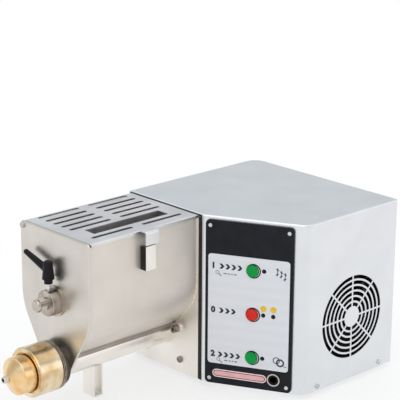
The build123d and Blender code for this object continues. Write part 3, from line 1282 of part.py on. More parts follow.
pieces = {
    "base_tray": base_tray(),
    "rubber_feet": rubber_feet(),
    "housing_screws": Compound(foot_screws() + cover_screws() + fan_screws()),
    "front_frame": front_frame(),
    "mount_plate": mount_plate(),
    "front_bolts": Compound(plate_screws() + flange_bolts()),
    "shaft_seals": shaft_seals(),
    "housing_cover": housing_cover(),
    "gear_plate": gear_plate(),
    "gear_spacers": gear_spacers(),
    "shaft_bearings": Compound(gear_bearings() + motor_bearings()),
    "motor_casing": motor_casing(),
    "motor_stator": motor_stator(),
    "fan_frame": fan_frame(),
    "fan_bracket": fan_bracket(),
    "capacitor": capacitor(),
    "terminal_block": terminal_block(),
    "cable_gland": cable_gland(),
    "control_panel": control_panel(),
    "panel_label": panel_label(),
    "panel_screws": panel_screws(),
    "button_switches": button_switches(),
    "led_lenses": led_lenses(),
    "socket_ring": socket_ring(),
    "socket_body": socket_body(),
    "control_board": control_board(),
    "tank_trough": tank_trough(),
    "tank_end_plate": tank_end_plate(),
    "barrel_tube": barrel_tube(),
    "barrel_flange": barrel_flange(),
    "barrel_collar": barrel_collar(),
    "die_seal": die_seal(),
    "leg_strap": leg_strap(),
    "bearing_boss": bearing_boss(),
    "interlock_channel": interlock_channel(),
    "interlock_sensor": interlock_sensor(),
    "lid_hinge_rod": lid_hinge_rod(),
    "tank_lid": tank_lid(),
    "lid_magnet": lid_magnet(),
    "mixer_shaft": mixer_shaft(),
    "mixer_paddles": mixer_paddles(),
    "auger_screw": auger_screw(),
    "reduction_shaft": reduction_shaft(),
    "motor_shaft": motor_shaft(),
    "motor_rotor": motor_rotor(),
    "fan_rotor": fan_rotor(),
    "die_body": die_body(),
    "die_insert": die_insert(),
    "ring_nut": ring_nut(),
    "pull_knob": pull_knob(),
    "lever_handle": lever_handle(),
    "lever_stud": lever_stud(),
}
pieces.update(gears())
for name, height in BUTTON_Z.items():
    pieces[f"{name}_button"] = button(height)

boxes = [piece.bounding_box() for piece in pieces.values()]
MIDDLE_X = (min(box.min.X for box in boxes) + max(box.max.X for box in boxes)) / 2
MIDDLE_Y = (min(box.min.Y for box in boxes) + max(box.max.Y for box in boxes)) / 2
os.makedirs("parts", exist_ok=True)
for name, piece in pieces.items():
    export_step(Pos(-MIDDLE_X, -MIDDLE_Y, 0) * piece, f"parts/{name}.step")
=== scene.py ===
import json
from math import asin, cos, pi, radians, sin, sqrt

import bmesh
import bpy
from bmesh.types import BMEdge, BMVert
from bpy.props import FloatProperty, FloatVectorProperty, PointerProperty
from mathutils import Euler, Matrix, Vector


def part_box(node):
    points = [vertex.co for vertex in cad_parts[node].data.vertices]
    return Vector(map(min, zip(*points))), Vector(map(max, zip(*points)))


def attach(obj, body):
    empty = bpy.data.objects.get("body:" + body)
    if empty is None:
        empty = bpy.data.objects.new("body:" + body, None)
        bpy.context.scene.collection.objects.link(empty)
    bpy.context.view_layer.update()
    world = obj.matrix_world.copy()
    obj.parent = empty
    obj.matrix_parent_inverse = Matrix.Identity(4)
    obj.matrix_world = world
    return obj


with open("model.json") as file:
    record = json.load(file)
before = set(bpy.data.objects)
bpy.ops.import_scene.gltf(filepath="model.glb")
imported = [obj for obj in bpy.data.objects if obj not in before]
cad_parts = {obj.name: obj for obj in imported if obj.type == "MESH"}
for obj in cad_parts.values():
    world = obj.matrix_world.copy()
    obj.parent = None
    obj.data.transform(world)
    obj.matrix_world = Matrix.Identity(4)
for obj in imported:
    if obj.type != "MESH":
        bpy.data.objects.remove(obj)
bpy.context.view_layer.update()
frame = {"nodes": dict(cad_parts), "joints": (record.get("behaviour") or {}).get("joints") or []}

bl_info = {
    "name": "Electric pasta maker",
    "version": (1, 0, 0),
    "blender": (4, 5, 0),
    "location": "3D View > Sidebar > Pasta Maker",
    "description": "Dresses the packed model of an electric pasta maker and sets it in a small studio",
    "category": "Object",
}

MM = 0.001


# ---- colours
def srgb(code):
    """Linear colour of an sRGB hex code such as "c8cacc"."""
    channels = [int(code[at : at + 2], 16) / 255 for at in (0, 2, 4)]
    return tuple(c / 12.92 if c <= 0.04045 else ((c + 0.055) / 1.055) ** 2.4 for c in channels)


def opaque(colour):
    """Linear colour with full alpha, from a hex code or from a user's colour."""
    return (*(srgb(colour) if isinstance(colour, str) else colour), 1.0)


def darker(colour, share):
    """A colour taken down by a share of its light."""
    return tuple(c * (1 - share) for c in colour)


# ---- places that the dressing shares with the solids
def middle(node):
    """Centre of a CAD node's box."""
    low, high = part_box(node)
    return (Vector(low) + Vector(high)) / 2


def tube_radius(node):
    """Outer radius of a round CAD node that lies along X."""
    low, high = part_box(node)
    return (high[1] - low[1]) / 2


UP = Vector((0, 0, 1))
PUSH = Vector(next(joint["axis"] for joint in frame["joints"] if joint["name"] == "mix_button_press"))
OUT = -PUSH.normalized()  # out of the slanted panel
ALONG = UP.cross(OUT)  # level, along the panel
PANEL_FACE = 3.0 * MM  # face of the panel plate, in front of the housing's sheet
LABEL_THICKNESS = 0.5 * MM
LABEL_FACE = PANEL_FACE + LABEL_THICKNESS
LABEL_CENTRE = (78.25 * MM, 136.0 * MM)  # along the panel and up it
PANEL_ORIGIN = (
    middle("panel_label")
    - OUT * (LABEL_FACE - LABEL_THICKNESS / 2)
    - ALONG * LABEL_CENTRE[0]
    - UP * LABEL_CENTRE[1]
)
TANK_MIDDLE_Y = middle("barrel_tube").y
MIXER_Z = middle("mixer_gear").z
BARREL_Z = middle("ring_nut").z
PLATE_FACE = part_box("mount_plate")[0][0]
WALL_REACH = TANK_MIDDLE_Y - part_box("tank_trough")[0][1]
FLAT_OFFSET = 5 * MM  # how far the trough's flats would pass from the barrel's axis
FLAT_TILT = asin((WALL_REACH - FLAT_OFFSET) / (MIXER_Z - BARREL_Z))  # from upright
FLAT_LENGTH = (MIXER_Z - BARREL_Z) * cos(FLAT_TILT)


def on_panel(s, z, depth=LABEL_FACE):
    """Matrix s millimetres along the slanted panel and z up it: X along it, Y up and Z out of it."""
    place = PANEL_ORIGIN + ALONG * (s * MM) + UP * (z * MM) + OUT * depth
    turn = Matrix((ALONG, UP, OUT)).transposed()
    return Matrix.Translation(place) @ turn.to_4x4()


def panel_place(node):
    """Where a CAD node's middle lies along the panel and up it, in millimetres."""
    offset = middle(node) - PANEL_ORIGIN
    return offset.dot(ALONG) / MM, offset.z / MM


# ---- sizes and colours that a user would change
class StudioSettings(bpy.types.PropertyGroup):
    camera_place: FloatVectorProperty(
        name="Camera place", description="Where the camera stands", size=3,
        default=(-1.5924, -1.7182, 1.0323), subtype="TRANSLATION", unit="LENGTH",
    )
    camera_yaw: FloatProperty(
        name="Camera yaw", description="Heading of the view, from +X towards +Y",
        default=radians(47.07), subtype="ANGLE",
    )
    camera_pitch: FloatProperty(
        name="Camera pitch", description="How far the view looks down",
        default=radians(17.57), subtype="ANGLE",
    )
    camera_roll: FloatProperty(
        name="Camera roll", description="Turn of the camera about its view",
        default=radians(0.3), subtype="ANGLE",
    )
    lens: FloatProperty(
        name="Lens", description="Focal length on a 36 mm sensor, in millimetres",
        default=142.55, min=10, unit="CAMERA",
    )
    shift: FloatVectorProperty(
        name="Shift", description="Shift of the frame, as a share of its width", size=2,
        default=(0.00985, 0.0309),
    )
    lamp_strength: FloatProperty(
        name="Lamp strength", description="Factor on the power of every lamp", default=1.0, min=0
    )
    sky_strength: FloatProperty(
        name="Sky strength", description="Strength of the light from all round", default=1.06, min=0
    )
    floor_whiteness: FloatProperty(
        name="Floor whiteness", description="Share of plain white in the floor beside the object",
        default=0.64, min=0, max=1, subtype="FACTOR",
    )
    floor_colour: FloatVectorProperty(
        name="Floor colour", description="Colour of the pale floor", size=3,
        default=srgb("f7f7f7"), subtype="COLOR",
    )


class PanelSettings(bpy.types.PropertyGroup):
    button_rim: FloatProperty(
        name="Button rim", description="Outer radius of the rim round a button",
        default=11.9 * MM, min=10.8 * MM, unit="LENGTH",
    )
    rim_height: FloatProperty(
        name="Rim height", description="Height of a button's rim above the label",
        default=0.7 * MM, min=0, unit="LENGTH",
    )
    lamp_rim: FloatProperty(
        name="Lamp rim", description="Outer radius of the rim round an indicator lamp",
        default=3.5 * MM, min=3.3 * MM, unit="LENGTH",
    )
    numeral_height: FloatProperty(
        name="Numeral height", description="Height of the printed numerals",
        default=9.4 * MM, min=MM, unit="LENGTH",
    )
    print_thickness: FloatProperty(
        name="Print thickness", description="Thickness of the printed ink",
        default=0.06 * MM, min=0.01 * MM, unit="LENGTH",
    )
    badge_size: FloatVectorProperty(
        name="Badge size", description="Length and height of the blank badge", size=2,
        default=(89.0 * MM, 13.4 * MM), unit="LENGTH",
    )
    marker_colour: FloatVectorProperty(
        name="Marker colour", description="Colour of the plain markers over the stop lamps", size=3,
        default=srgb("e5bf2e"), subtype="COLOR",
    )


class TankSettings(bpy.types.PropertyGroup):
    weld_radius: FloatProperty(
        name="Weld radius", description="Radius of the weld bead at the end of the tank",
        default=1.2 * MM, min=0.2 * MM, unit="LENGTH",
    )
    saddle_radius: FloatProperty(
        name="Saddle radius", description="Radius of the fillet where the trough runs down onto the barrel",
        default=9.0 * MM, min=MM, unit="LENGTH",
    )
    thread_pitch: FloatProperty(
        name="Thread pitch", description="Spacing of the thread crests behind the ring nut",
        default=3.0 * MM, min=MM, unit="LENGTH",
    )
    sheet_colour: FloatVectorProperty(
        name="Sheet colour", description="Colour of the tank's stainless sheet", size=3,
        default=srgb("e3dbd2"), subtype="COLOR",
    )
    plate_colour: FloatVectorProperty(
        name="Plate colour", description="Colour of the tank's end plate", size=3,
        default=srgb("dbd6cf"), subtype="COLOR",
    )
    cover_colour: FloatVectorProperty(
        name="Cover colour", description="Colour of the housing's stainless sheet", size=3,
        default=srgb("e4e6e9"), subtype="COLOR",
    )


# ---- nodes and materials
NOISE_SPAN = {"From Min": 0.3, "From Max": 0.7}  # holds nearly all of a noise texture
METAL_EDGE_MM = 0.35  # radius that wear gives a metal edge


def add_node(owner, kind, sockets=None, **settings):
    """Add a node to a material or the world with its settings, and set or link its inputs."""
    made = owner.node_tree.nodes.new(kind)
    for name, value in settings.items():
        setattr(made, name, value)
    for name, value in (sockets or {}).items():
        if isinstance(value, bpy.types.NodeSocket):
            owner.node_tree.links.new(value, made.inputs[name])
        else:
            made.inputs[name].default_value = value
    return made


def start_material(name):
    """Material with an empty node tree."""
    material = bpy.data.materials.new(name)
    material.use_nodes = True
    material.node_tree.nodes.clear()
    return material


def per_metre(*sizes_mm):
    """Pattern scale for features of these sizes along X, Y and Z; 0 leaves a direction plain."""
    return tuple(1000 / size if size else 0.0 for size in sizes_mm)


def finish_surface(material, colour, roughness, height, relief_mm, edge_mm, more):
    """Raise a pattern on softly rounded edges, and join the shader with these inputs to the output."""
    rounded = add_node(material, "ShaderNodeBevel", {"Radius": edge_mm * MM}, samples=4)
    relief = add_node(
        material, "ShaderNodeBump",
        {"Height": height, "Distance": relief_mm * MM, "Normal": rounded.outputs[0]},
    )
    shader = add_node(
        material, "ShaderNodeBsdfPrincipled",
        {"Base Color": colour, "Roughness": roughness, "Normal": relief.outputs[0], **more},
    )
    add_node(material, "ShaderNodeOutputMaterial", {"Surface": shader.outputs[0]})
    return material


def add_clouds(material, place, cloud_mm, light, dark):
    """Slow clouds of this size, and the colour that drifts with them from dark to light."""
    clouds = add_node(
        material, "ShaderNodeTexNoise", {"Vector": place, "Scale": 1000 / cloud_mm, "Detail": 2.0}
    ).outputs[0]
    share = add_node(material, "ShaderNodeMapRange", {"Value": clouds, **NOISE_SPAN})
    # A Mix node takes its colours on sockets 6 and 7, and gives one on 2.
    colour = add_node(
        material, "ShaderNodeMix", {0: share.outputs[0], 6: opaque(dark), 7: opaque(light)},
        data_type="RGBA",
    )
    return clouds, colour.outputs[2]


def worked_metal(name, light, dark, grain_mm, roughness, relief_mm=0.01, cloud_mm=55, metal=1.0):
    """Metal with fine tool or brush lines, and slow clouds of tone and roughness.

    grain_mm is the size of a line along X, Y and Z. Real lines are about 0.1 mm apart, and are
    drawn as coarse as they need to show.
    """
    material = start_material(name)
    place = add_node(material, "ShaderNodeTexCoord").outputs["Object"]
    along = add_node(material, "ShaderNodeMapping", {"Vector": place, "Scale": per_metre(*grain_mm)})
    lines = add_node(
        material, "ShaderNodeTexNoise", {"Vector": along.outputs[0], "Scale": 1.0, "Detail": 4.0}
    ).outputs[0]
    clouds, colour = add_clouds(material, place, cloud_mm, light, dark)
    fine = add_node(
        material, "ShaderNodeMapRange",
        {"Value": lines, "To Min": roughness - 0.05, "To Max": roughness + 0.05, **NOISE_SPAN},
    )
    rough = add_node(
        material, "ShaderNodeMath", {0: clouds, 1: 0.08, 2: fine.outputs[0]}, operation="MULTIPLY_ADD"
    )
    return finish_surface(
        material, colour, rough.outputs[0], lines, relief_mm, METAL_EDGE_MM, {"Metallic": metal}
    )


def moulded_plastic(name, light, dark, grain_mm, roughness, relief_mm=0.02, gloss=0.5, edge_mm=0.3):
    """Plastic, rubber, enamel or ink: a fine even grain, and a little drift in tone.

    The real grain of a mould is finer, and is drawn as coarse as it needs to show.
    """
    material = start_material(name)
    place = add_node(material, "ShaderNodeTexCoord").outputs["Object"]
    grain = add_node(
        material, "ShaderNodeTexNoise", {"Vector": place, "Scale": 1000 / grain_mm, "Detail": 2.0}
    ).outputs[0]
    _, colour = add_clouds(material, place, 18, light, dark)
    rough = add_node(
        material, "ShaderNodeMapRange",
        {"Value": grain, "To Min": roughness - 0.04, "To Max": roughness + 0.04, **NOISE_SPAN},
    )
    return finish_surface(
        material, colour, rough.outputs[0], grain, relief_mm, edge_mm,
        {"IOR": 1.5, "Specular IOR Level": gloss},
    )


def printed_film():
    """Polyester overlay: silver-grey ink under a satin film, with faint level bands."""
    material = start_material("printed_polyester_film")
    place = add_node(material, "ShaderNodeTexCoord").outputs["Object"]
    band_mm = 17.8
    # A wave texture of scale 1 repeats every tenth of pi.
    bands = add_node(
        material, "ShaderNodeTexWave", {"Vector": place, "Scale": pi / 10 / (band_mm * MM)},
        bands_direction="Z",
    )
    colour = add_node(
        material, "ShaderNodeMix",
        {0: bands.outputs["Fac"], 6: opaque("d8d9de"), 7: opaque("dbdce0")},
        data_type="RGBA",
    )
    grain_mm = 0.5
    grain = add_node(
        material, "ShaderNodeTexNoise", {"Vector": place, "Scale": 1000 / grain_mm, "Detail": 3.0}
    ).outputs[0]
    rough = add_node(
        material, "ShaderNodeMapRange", {"Value": grain, "To Min": 0.36, "To Max": 0.44, **NOISE_SPAN}
    )
    return finish_surface(
        material, colour.outputs[2], rough.outputs[0], grain, 0.008, 0,
        {"IOR": 1.57, "Specular IOR Level": 0.4},
    )


def push_button_plastic(name, light, dark):
    """Polished cap or lens: a deep colour under a clear gloss."""
    return moulded_plastic(name, light, dark, 1.2, 0.24, relief_mm=0.006, gloss=0.14, edge_mm=0.1)


def soft_rubber(name, light, dark):
    """Moulded rubber: matt, with the fine bloom of the mould."""
    return moulded_plastic(name, light, dark, 0.6, 0.72, relief_mm=0.04, gloss=0.2)


def screen_ink(name, light, dark, roughness=0.42):
    """Screen-printed ink: thin, satin and nearly even."""
    return moulded_plastic(name, light, dark, 0.4, roughness, relief_mm=0.004, edge_mm=0)


def enamel(name, light, dark):
    """Fired enamel: smooth and glossy, with a soft edge."""
    return moulded_plastic(name, light, dark, 1.0, 0.3, relief_mm=0.004, gloss=0.3)


def dress(material, *nodes):
    """Give CAD nodes a material, on the slots that their meshes have."""
    for name in nodes:
        for slot in frame["nodes"][name].material_slots:
            slot.material = material


# ---- meshes
MERGE_DISTANCE = 0.001 * MM
SHARP_ANGLE = radians(35)


def add_piece(name, mesh, material):
    """Make a finished mesh a piece that rides on the base."""
    mesh.materials.clear()
    mesh.materials.append(material)
    piece = bpy.data.objects.new(name, mesh)
    bpy.context.scene.collection.objects.link(piece)
    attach(piece, "base")


def keep_shape(name, shape, material):
    """Turn a finished bmesh into a smooth piece with crisp corners."""
    bmesh.ops.remove_doubles(shape, verts=shape.verts, dist=MERGE_DISTANCE)
    bmesh.ops.recalc_face_normals(shape, faces=shape.faces)
    mesh = bpy.data.meshes.new(name)
    shape.to_mesh(mesh)
    shape.free()
    mesh.shade_smooth()
    mesh.set_sharp_from_angle(angle=SHARP_ANGLE)
    add_piece(name, mesh, material)


def pick(parts, kind):
    """The vertices or the edges among the parts that an operator made."""
    return [part for part in parts if isinstance(part, kind)]


def add_block(shape, size, matrix):
    """Sharp block, centred on the matrix and standing on its Z = 0; gives its edges."""
    lift = Matrix.Translation((0, 0, size[2] / 2))
    made = bmesh.ops.create_cube(shape, size=1, matrix=matrix @ lift @ Matrix.Diagonal((*size, 1)))
    return list(dict.fromkeys(edge for vert in made["verts"] for edge in vert.link_edges))


def round_off(shape, edges, radius, segments):
    """Round edges to a radius."""
    bmesh.ops.bevel(
        shape, geom=edges, offset=radius, segments=segments, profile=0.5, affect="EDGES", material=-1
    )


def add_bar(shape, size, matrix, edge):
    """Block with all its edges rounded."""
    round_off(shape, add_block(shape, size, matrix), edge, segments=2)


def add_pill(shape, size, matrix):
    """Flat plate with fully round ends."""
    out = (matrix.to_3x3() @ UP).normalized()
    upright = [
        edge
        for edge in add_block(shape, size, matrix)
        if abs((edge.verts[0].co - edge.verts[1].co).normalized().dot(out)) > 0.99
    ]
    just_under_half = 0.499
    round_off(shape, upright, size[1] * just_under_half, segments=10)


def add_disc(shape, radius, height, matrix):
    """Round plate that stands on the matrix's Z = 0."""
    lift = Matrix.Translation((0, 0, height / 2))
    bmesh.ops.create_cone(
        shape, cap_ends=True, segments=40, radius1=radius, radius2=radius, depth=height,
        matrix=matrix @ lift,
    )


def add_turned_ring(shape, outline, matrix, sides=64):
    """Ring turned about the matrix's Z from a closed outline of (radius, height) corners."""
    corners = [shape.verts.new(matrix @ Vector((radius, 0, height))) for radius, height in outline]
    edges = [shape.edges.new((one, two)) for one, two in zip(corners, corners[1:] + corners[:1])]
    bmesh.ops.spin(
        shape, geom=corners + edges, cent=matrix.translation, axis=matrix.to_3x3() @ UP,
        angle=2 * pi, steps=sides, use_merge=True,
    )


def add_hoop(shape, radius, width, height, matrix, sides=48):
    """Flat ring, as in a printed circle: its line has this width about the radius."""
    inner, outer = radius - width / 2, radius + width / 2
    add_turned_ring(shape, ((inner, 0), (outer, 0), (outer, height), (inner, height)), matrix, sides)


# ---- stage
class PASTA_OT_studio(bpy.types.Operator):
    """Set up the floor, the lamps, the sky and the camera."""

    bl_idname = "pasta.studio"
    bl_label = "Studio"

    SENSOR_WIDTH = 36.0
    CLIP = (0.05, 60)
    FLOOR_RADIUS = 12
    FLOOR_DROP = 0.5 * MM  # leaves the feet just clear of the floor
    WHITE_RUN = (0.25, 0.8)  # distance from the middle over which the floor turns plain white
    # Colour of the surroundings by the height of the direction, from level to straight up.
    SKY_TONES = ((0.0, "ffffff"), (0.22, "d2d7da"), (0.55, "c4c8cb"), (1.0, "dfe1e2"))
    # Name, place, width and height in metres, and power in watts.
    LAMPS = (
        ("left_softbox", (-2.8, -1.1, 2.5), 3.4, 3.0, 30),
        ("right_softbox", (2.4, -2.6, 1.2), 3.8, 1.8, 14),
        ("top_softbox", (0.3, 0.4, 2.9), 4.4, 4.4, 34),
    )

    def execute(self, context):
        studio = context.scene.pasta_studio
        self.add_camera(context, studio)
        self.add_floor(context, studio)
        self.add_sky(context, studio)
        self.add_lamps(context, studio)
        context.scene.view_settings.view_transform = "Standard"
        return {"FINISHED"}

    def add_camera(self, context, studio):
        """Camera that heads along its yaw, looks down by its pitch and leans by its roll."""
        data = bpy.data.cameras.new("camera")
        data.lens, data.sensor_width = studio.lens, self.SENSOR_WIDTH
        data.shift_x, data.shift_y = studio.shift
        data.clip_start, data.clip_end = self.CLIP
        camera = bpy.data.objects.new("camera", data)
        aim = Euler((pi / 2 - studio.camera_pitch, 0, studio.camera_yaw - pi / 2)).to_matrix()
        turn = aim @ Matrix.Rotation(studio.camera_roll, 3, "Z")
        camera.matrix_world = Matrix.Translation(studio.camera_place) @ turn.to_4x4()
        context.scene.collection.objects.link(camera)
        context.scene.camera = camera

    def add_floor(self, context, studio):
        """Round floor, wide enough that its edge lies far behind the object."""
        shape = bmesh.new()
        bmesh.ops.create_circle(shape, cap_ends=True, segments=96, radius=self.FLOOR_RADIUS)
        mesh = bpy.data.meshes.new("floor")
        shape.to_mesh(mesh)
        shape.free()
        mesh.materials.append(self.floor_material(studio))
        floor = bpy.data.objects.new("floor", mesh)
        floor.location.z = -self.FLOOR_DROP
        context.scene.collection.objects.link(floor)

    def floor_material(self, studio):
        """Matt paint that takes the shadow near the object, and runs out to plain white."""
        material = start_material("floor_matt_paint")
        place = add_node(material, "ShaderNodeTexCoord").outputs["Object"]
        reach = add_node(material, "ShaderNodeVectorMath", {0: place}, operation="LENGTH")
        start, end = self.WHITE_RUN
        fade = add_node(
            material, "ShaderNodeMapRange",
            {
                "Value": reach.outputs["Value"], "From Min": start, "From Max": end,
                "To Min": studio.floor_whiteness, "To Max": 1.0,
            },
        )
        rays = add_node(material, "ShaderNodeLightPath").outputs
        seen = rays["Is Camera Ray"]
        for kind in ("Is Glossy Ray", "Is Transmission Ray"):
            both = add_node(material, "ShaderNodeMath", {0: seen, 1: rays[kind]}, operation="MAXIMUM")
            seen = both.outputs[0]
        share = add_node(material, "ShaderNodeMath", {0: fade.outputs[0], 1: seen}, operation="MULTIPLY")
        paint = add_node(
            material, "ShaderNodeBsdfPrincipled",
            {"Base Color": opaque(studio.floor_colour), "Roughness": 0.9, "Specular IOR Level": 0.1},
        )
        white = add_node(material, "ShaderNodeEmission", {"Color": (1, 1, 1, 1), "Strength": 1.0})
        mix = add_node(
            material, "ShaderNodeMixShader",
            {0: share.outputs[0], 1: paint.outputs[0], 2: white.outputs[0]},
        )
        add_node(material, "ShaderNodeOutputMaterial", {"Surface": mix.outputs[0]})
        return material

    def add_sky(self, context, studio):
        """Studio all round: white at the level of the floor, dimmer above it, lighter overhead."""
        world = context.scene.world or bpy.data.worlds.new("sky")
        context.scene.world = world
        world.use_nodes = True
        world.node_tree.nodes.clear()
        way = add_node(world, "ShaderNodeTexCoord").outputs["Generated"]
        height = add_node(world, "ShaderNodeSeparateXYZ", {0: way}).outputs["Z"]
        tones = add_node(world, "ShaderNodeValToRGB", {0: height})
        tones.color_ramp.interpolation = "EASE"
        for place, _ in self.SKY_TONES[1:-1]:
            tones.color_ramp.elements.new(place)
        for element, (place, tone) in zip(tones.color_ramp.elements, self.SKY_TONES):
            element.position, element.color = place, opaque(tone)
        light = add_node(
            world, "ShaderNodeBackground", {"Color": tones.outputs[0], "Strength": studio.sky_strength}
        )
        add_node(world, "ShaderNodeOutputWorld", {"Surface": light.outputs[0]})

    def add_lamps(self, context, studio):
        """Three broad dim softboxes that face the object, so that no pale face burns out in them."""
        for name, place, width, height, power in self.LAMPS:
            data = bpy.data.lights.new(name, "AREA")
            data.shape, data.size, data.size_y = "RECTANGLE", width, height
            data.energy = power * studio.lamp_strength
            lamp = bpy.data.objects.new(name, data)
            lamp.location = place
            lamp.rotation_euler = (-Vector(place)).to_track_quat("-Z", "Y").to_euler()
            context.scene.collection.objects.link(lamp)


# ---- finishes of the solids
class PASTA_OT_sheet(bpy.types.Operator):
    """Finish the stainless sheet of the tank and the housing."""

    bl_idname = "pasta.sheet"
    bl_label = "Stainless sheet"

    def execute(self, context):
        tank = context.scene.pasta_tank
        # Cold-rolled satin sheet with lines along it, which scatters so much light that it looks matt.
        trough = worked_metal(
            "satin_stainless_tank", tank.sheet_colour, darker(tank.sheet_colour, 0.08), (50, 0.7, 0.7),
            0.43, metal=0.65,
        )
        dress(trough, "tank_trough")
        # Brushed up and down, and a little darker in the clouds that handling leaves.
        end_plate = worked_metal(
            "brushed_stainless_plate", tank.plate_colour, darker(tank.plate_colour, 0.12),
            (0.7, 0.7, 50), 0.30,
        )
        dress(end_plate, "tank_end_plate")
        # Satin strip and plate with upright lines, the palest of the sheet.
        plate = worked_metal(
            "satin_stainless_plate", "f6f2ec", "ebe6de", (0.7, 0.7, 50), 0.34
        )
        dress(plate, "mount_plate", "leg_strap", "interlock_channel")
        # Brushed along its length, and a little cooler than the tank.
        lid = worked_metal(
            "brushed_stainless_lid", "e6e5e6", "d7d6d8", (45, 0.6, 0.6), 0.32, relief_mm=0.02
        )
        dress(lid, "tank_lid")
        # Housing sheet with a fine upright satin, smooth enough to mirror the floor softly.
        cover = worked_metal(
            "satin_stainless_cover", tank.cover_colour, darker(tank.cover_colour, 0.06),
            (0.9, 0.9, 40), 0.30, relief_mm=0.006,
        )
        dress(cover, "housing_cover", "base_tray", "fan_bracket")
        return {"FINISHED"}


class PASTA_OT_turned_steel(bpy.types.Operator):
    """Finish the drawn and turned steel, and the screws."""

    bl_idname = "pasta.turned_steel"
    bl_label = "Turned steel and screws"

    def execute(self, context):
        # Drawn and polished tube, which keeps a broad bright band along its side.
        tube = worked_metal(
            "drawn_stainless_tube", "f5f0ea", "e9e2d9", (60, 0.5, 0.5), 0.26, relief_mm=0.006
        )
        dress(tube, "barrel_tube", "barrel_flange")
        # Polished until it mirrors the room, with only faint tool rings.
        polished = worked_metal(
            "polished_stainless", "c9c2ba", "b2aaa2", (0.5, 0, 0), 0.2, relief_mm=0.004
        )
        dress(polished, "pull_knob", "socket_ring", "lid_hinge_rod")
        # The nozzle is bored and faced: bright, with a dark mouth.
        faced = worked_metal(
            "faced_stainless", "e2dcd6", "cfc8c1", (0.5, 0, 0), 0.3, relief_mm=0.004
        )
        dress(faced, "die_insert")
        # Turned steel as it leaves the lathe, with plain rings round the axis.
        turned = worked_metal(
            "turned_steel", "bcb6ae", "9f9891", (0.4, 0, 0), 0.26, relief_mm=0.02
        )
        dress(turned, "mixer_shaft", "auger_screw", "mixer_paddles")
        # Handled steel of the boss: greyer, with tool rings and stains.
        handled = worked_metal(
            "handled_turned_steel", "c6bdb4", "9c9187", (0.5, 0, 0), 0.24,
            relief_mm=0.03, cloud_mm=18,
        )
        dress(handled, "bearing_boss")
        # Turned steel of the collar, painted dark as shade between the nut and the tank.
        collar_shade = worked_metal(
            "collar_steel_painted_shade", "6d645d", "463e38", (0.5, 0, 0), 0.28,
            relief_mm=0.03, cloud_mm=14,
        )
        dress(collar_shade, "barrel_collar")
        # Bright zinc plate on the bought screws, with patches of a duller tone.
        zinc = worked_metal(
            "zinc_plated_steel", "e4e5e6", "c2c3c5", (1.5, 1.5, 1.5), 0.22, cloud_mm=8
        )
        dress(zinc, "housing_screws", "panel_screws", "lever_stud", "shaft_bearings")
        # The screws of the mount plate and of the ears are plain steel, with large dark patches.
        machined = worked_metal(
            "machined_screw_steel", "b5aea6", "6f6860", (1.5, 1.5, 1.5), 0.28, cloud_mm=6
        )
        dress(machined, "front_bolts")
        return {"FINISHED"}


class PASTA_OT_drive(bpy.types.Operator):
    """Finish the frames, the gears and the motor."""

    bl_idname = "pasta.drive"
    bl_label = "Drive"

    def execute(self, context):
        # Milled and cast aluminium: an even grey with a fine tooth.
        aluminium = worked_metal(
            "milled_aluminium", "c3c5c7", "a9abad", (2, 2, 2), 0.42, relief_mm=0.03
        )
        dress(aluminium, "front_frame", "gear_plate", "gear_spacers", "motor_casing", "capacitor")
        # Hobbed and oiled steel: half bright, with darker patches of oil.
        gear = worked_metal(
            "hobbed_gear_steel", "a8a8aa", "8b8b8e", (0.8, 0.8, 0.8), 0.30, cloud_mm=14
        )
        dress(
            gear, "mixer_gear", "auger_gear", "reduction_pinion", "reduction_gear", "motor_pinion",
            "reduction_shaft", "motor_shaft", "lid_magnet",
        )
        # Dark laminations stacked along the motor's axis, which show as fine rings.
        core = worked_metal(
            "stacked_core_steel", "66676a", "4c4d50", (0.5, 0, 0), 0.5, relief_mm=0.05
        )
        dress(core, "motor_stator", "motor_rotor")
        return {"FINISHED"}


class PASTA_OT_brass(bpy.types.Operator):
    """Finish the brass nut and the bronze die."""

    bl_idname = "pasta.brass"
    bl_label = "Brass and bronze"

    def execute(self, context):
        # Turned brass, handled and a little dulled: tan where it is worn, pale where it is bright.
        brass = worked_metal(
            "turned_brass", "f0e0c4", "d3b585", (0.6, 0, 0), 0.20, relief_mm=0.03, cloud_mm=22
        )
        dress(brass, "ring_nut")
        # Turned aluminium bronze: redder gold, with finer tool lines.
        bronze = worked_metal(
            "turned_bronze", "f8dbac", "e6b97c", (0.4, 0, 0), 0.20, relief_mm=0.02, cloud_mm=18
        )
        dress(bronze, "die_body")
        return {"FINISHED"}


class PASTA_OT_controls(bpy.types.Operator):
    """Finish the lever, the panel, its label and its buttons."""

    bl_idname = "pasta.controls"
    bl_label = "Lever and controls"

    def execute(self, context):
        # Glass-filled nylon lever: black with a slight sheen.
        nylon = moulded_plastic(
            "moulded_nylon_black", "1a171c", "120f14", 0.7, 0.36, gloss=0.15
        )
        dress(nylon, "lever_handle")
        # Painted panel plate: blue-black satin.
        paint = moulded_plastic(
            "satin_black_paint", "1c1f25", "15171d", 0.5, 0.4, relief_mm=0.015, gloss=0.15
        )
        dress(paint, "control_panel")
        dress(printed_film(), "panel_label")
        green = push_button_plastic("polished_abs_green", "059a42", "038a3c")
        dress(green, "mix_button", "extrude_button")
        dress(push_button_plastic("polished_abs_red", "d22f22", "bf241a"), "stop_button")
        # Smoke-tinted lamp lenses, unlit.
        dress(push_button_plastic("smoked_acrylic", "20242c", "15181e"), "led_lenses")
        return {"FINISHED"}


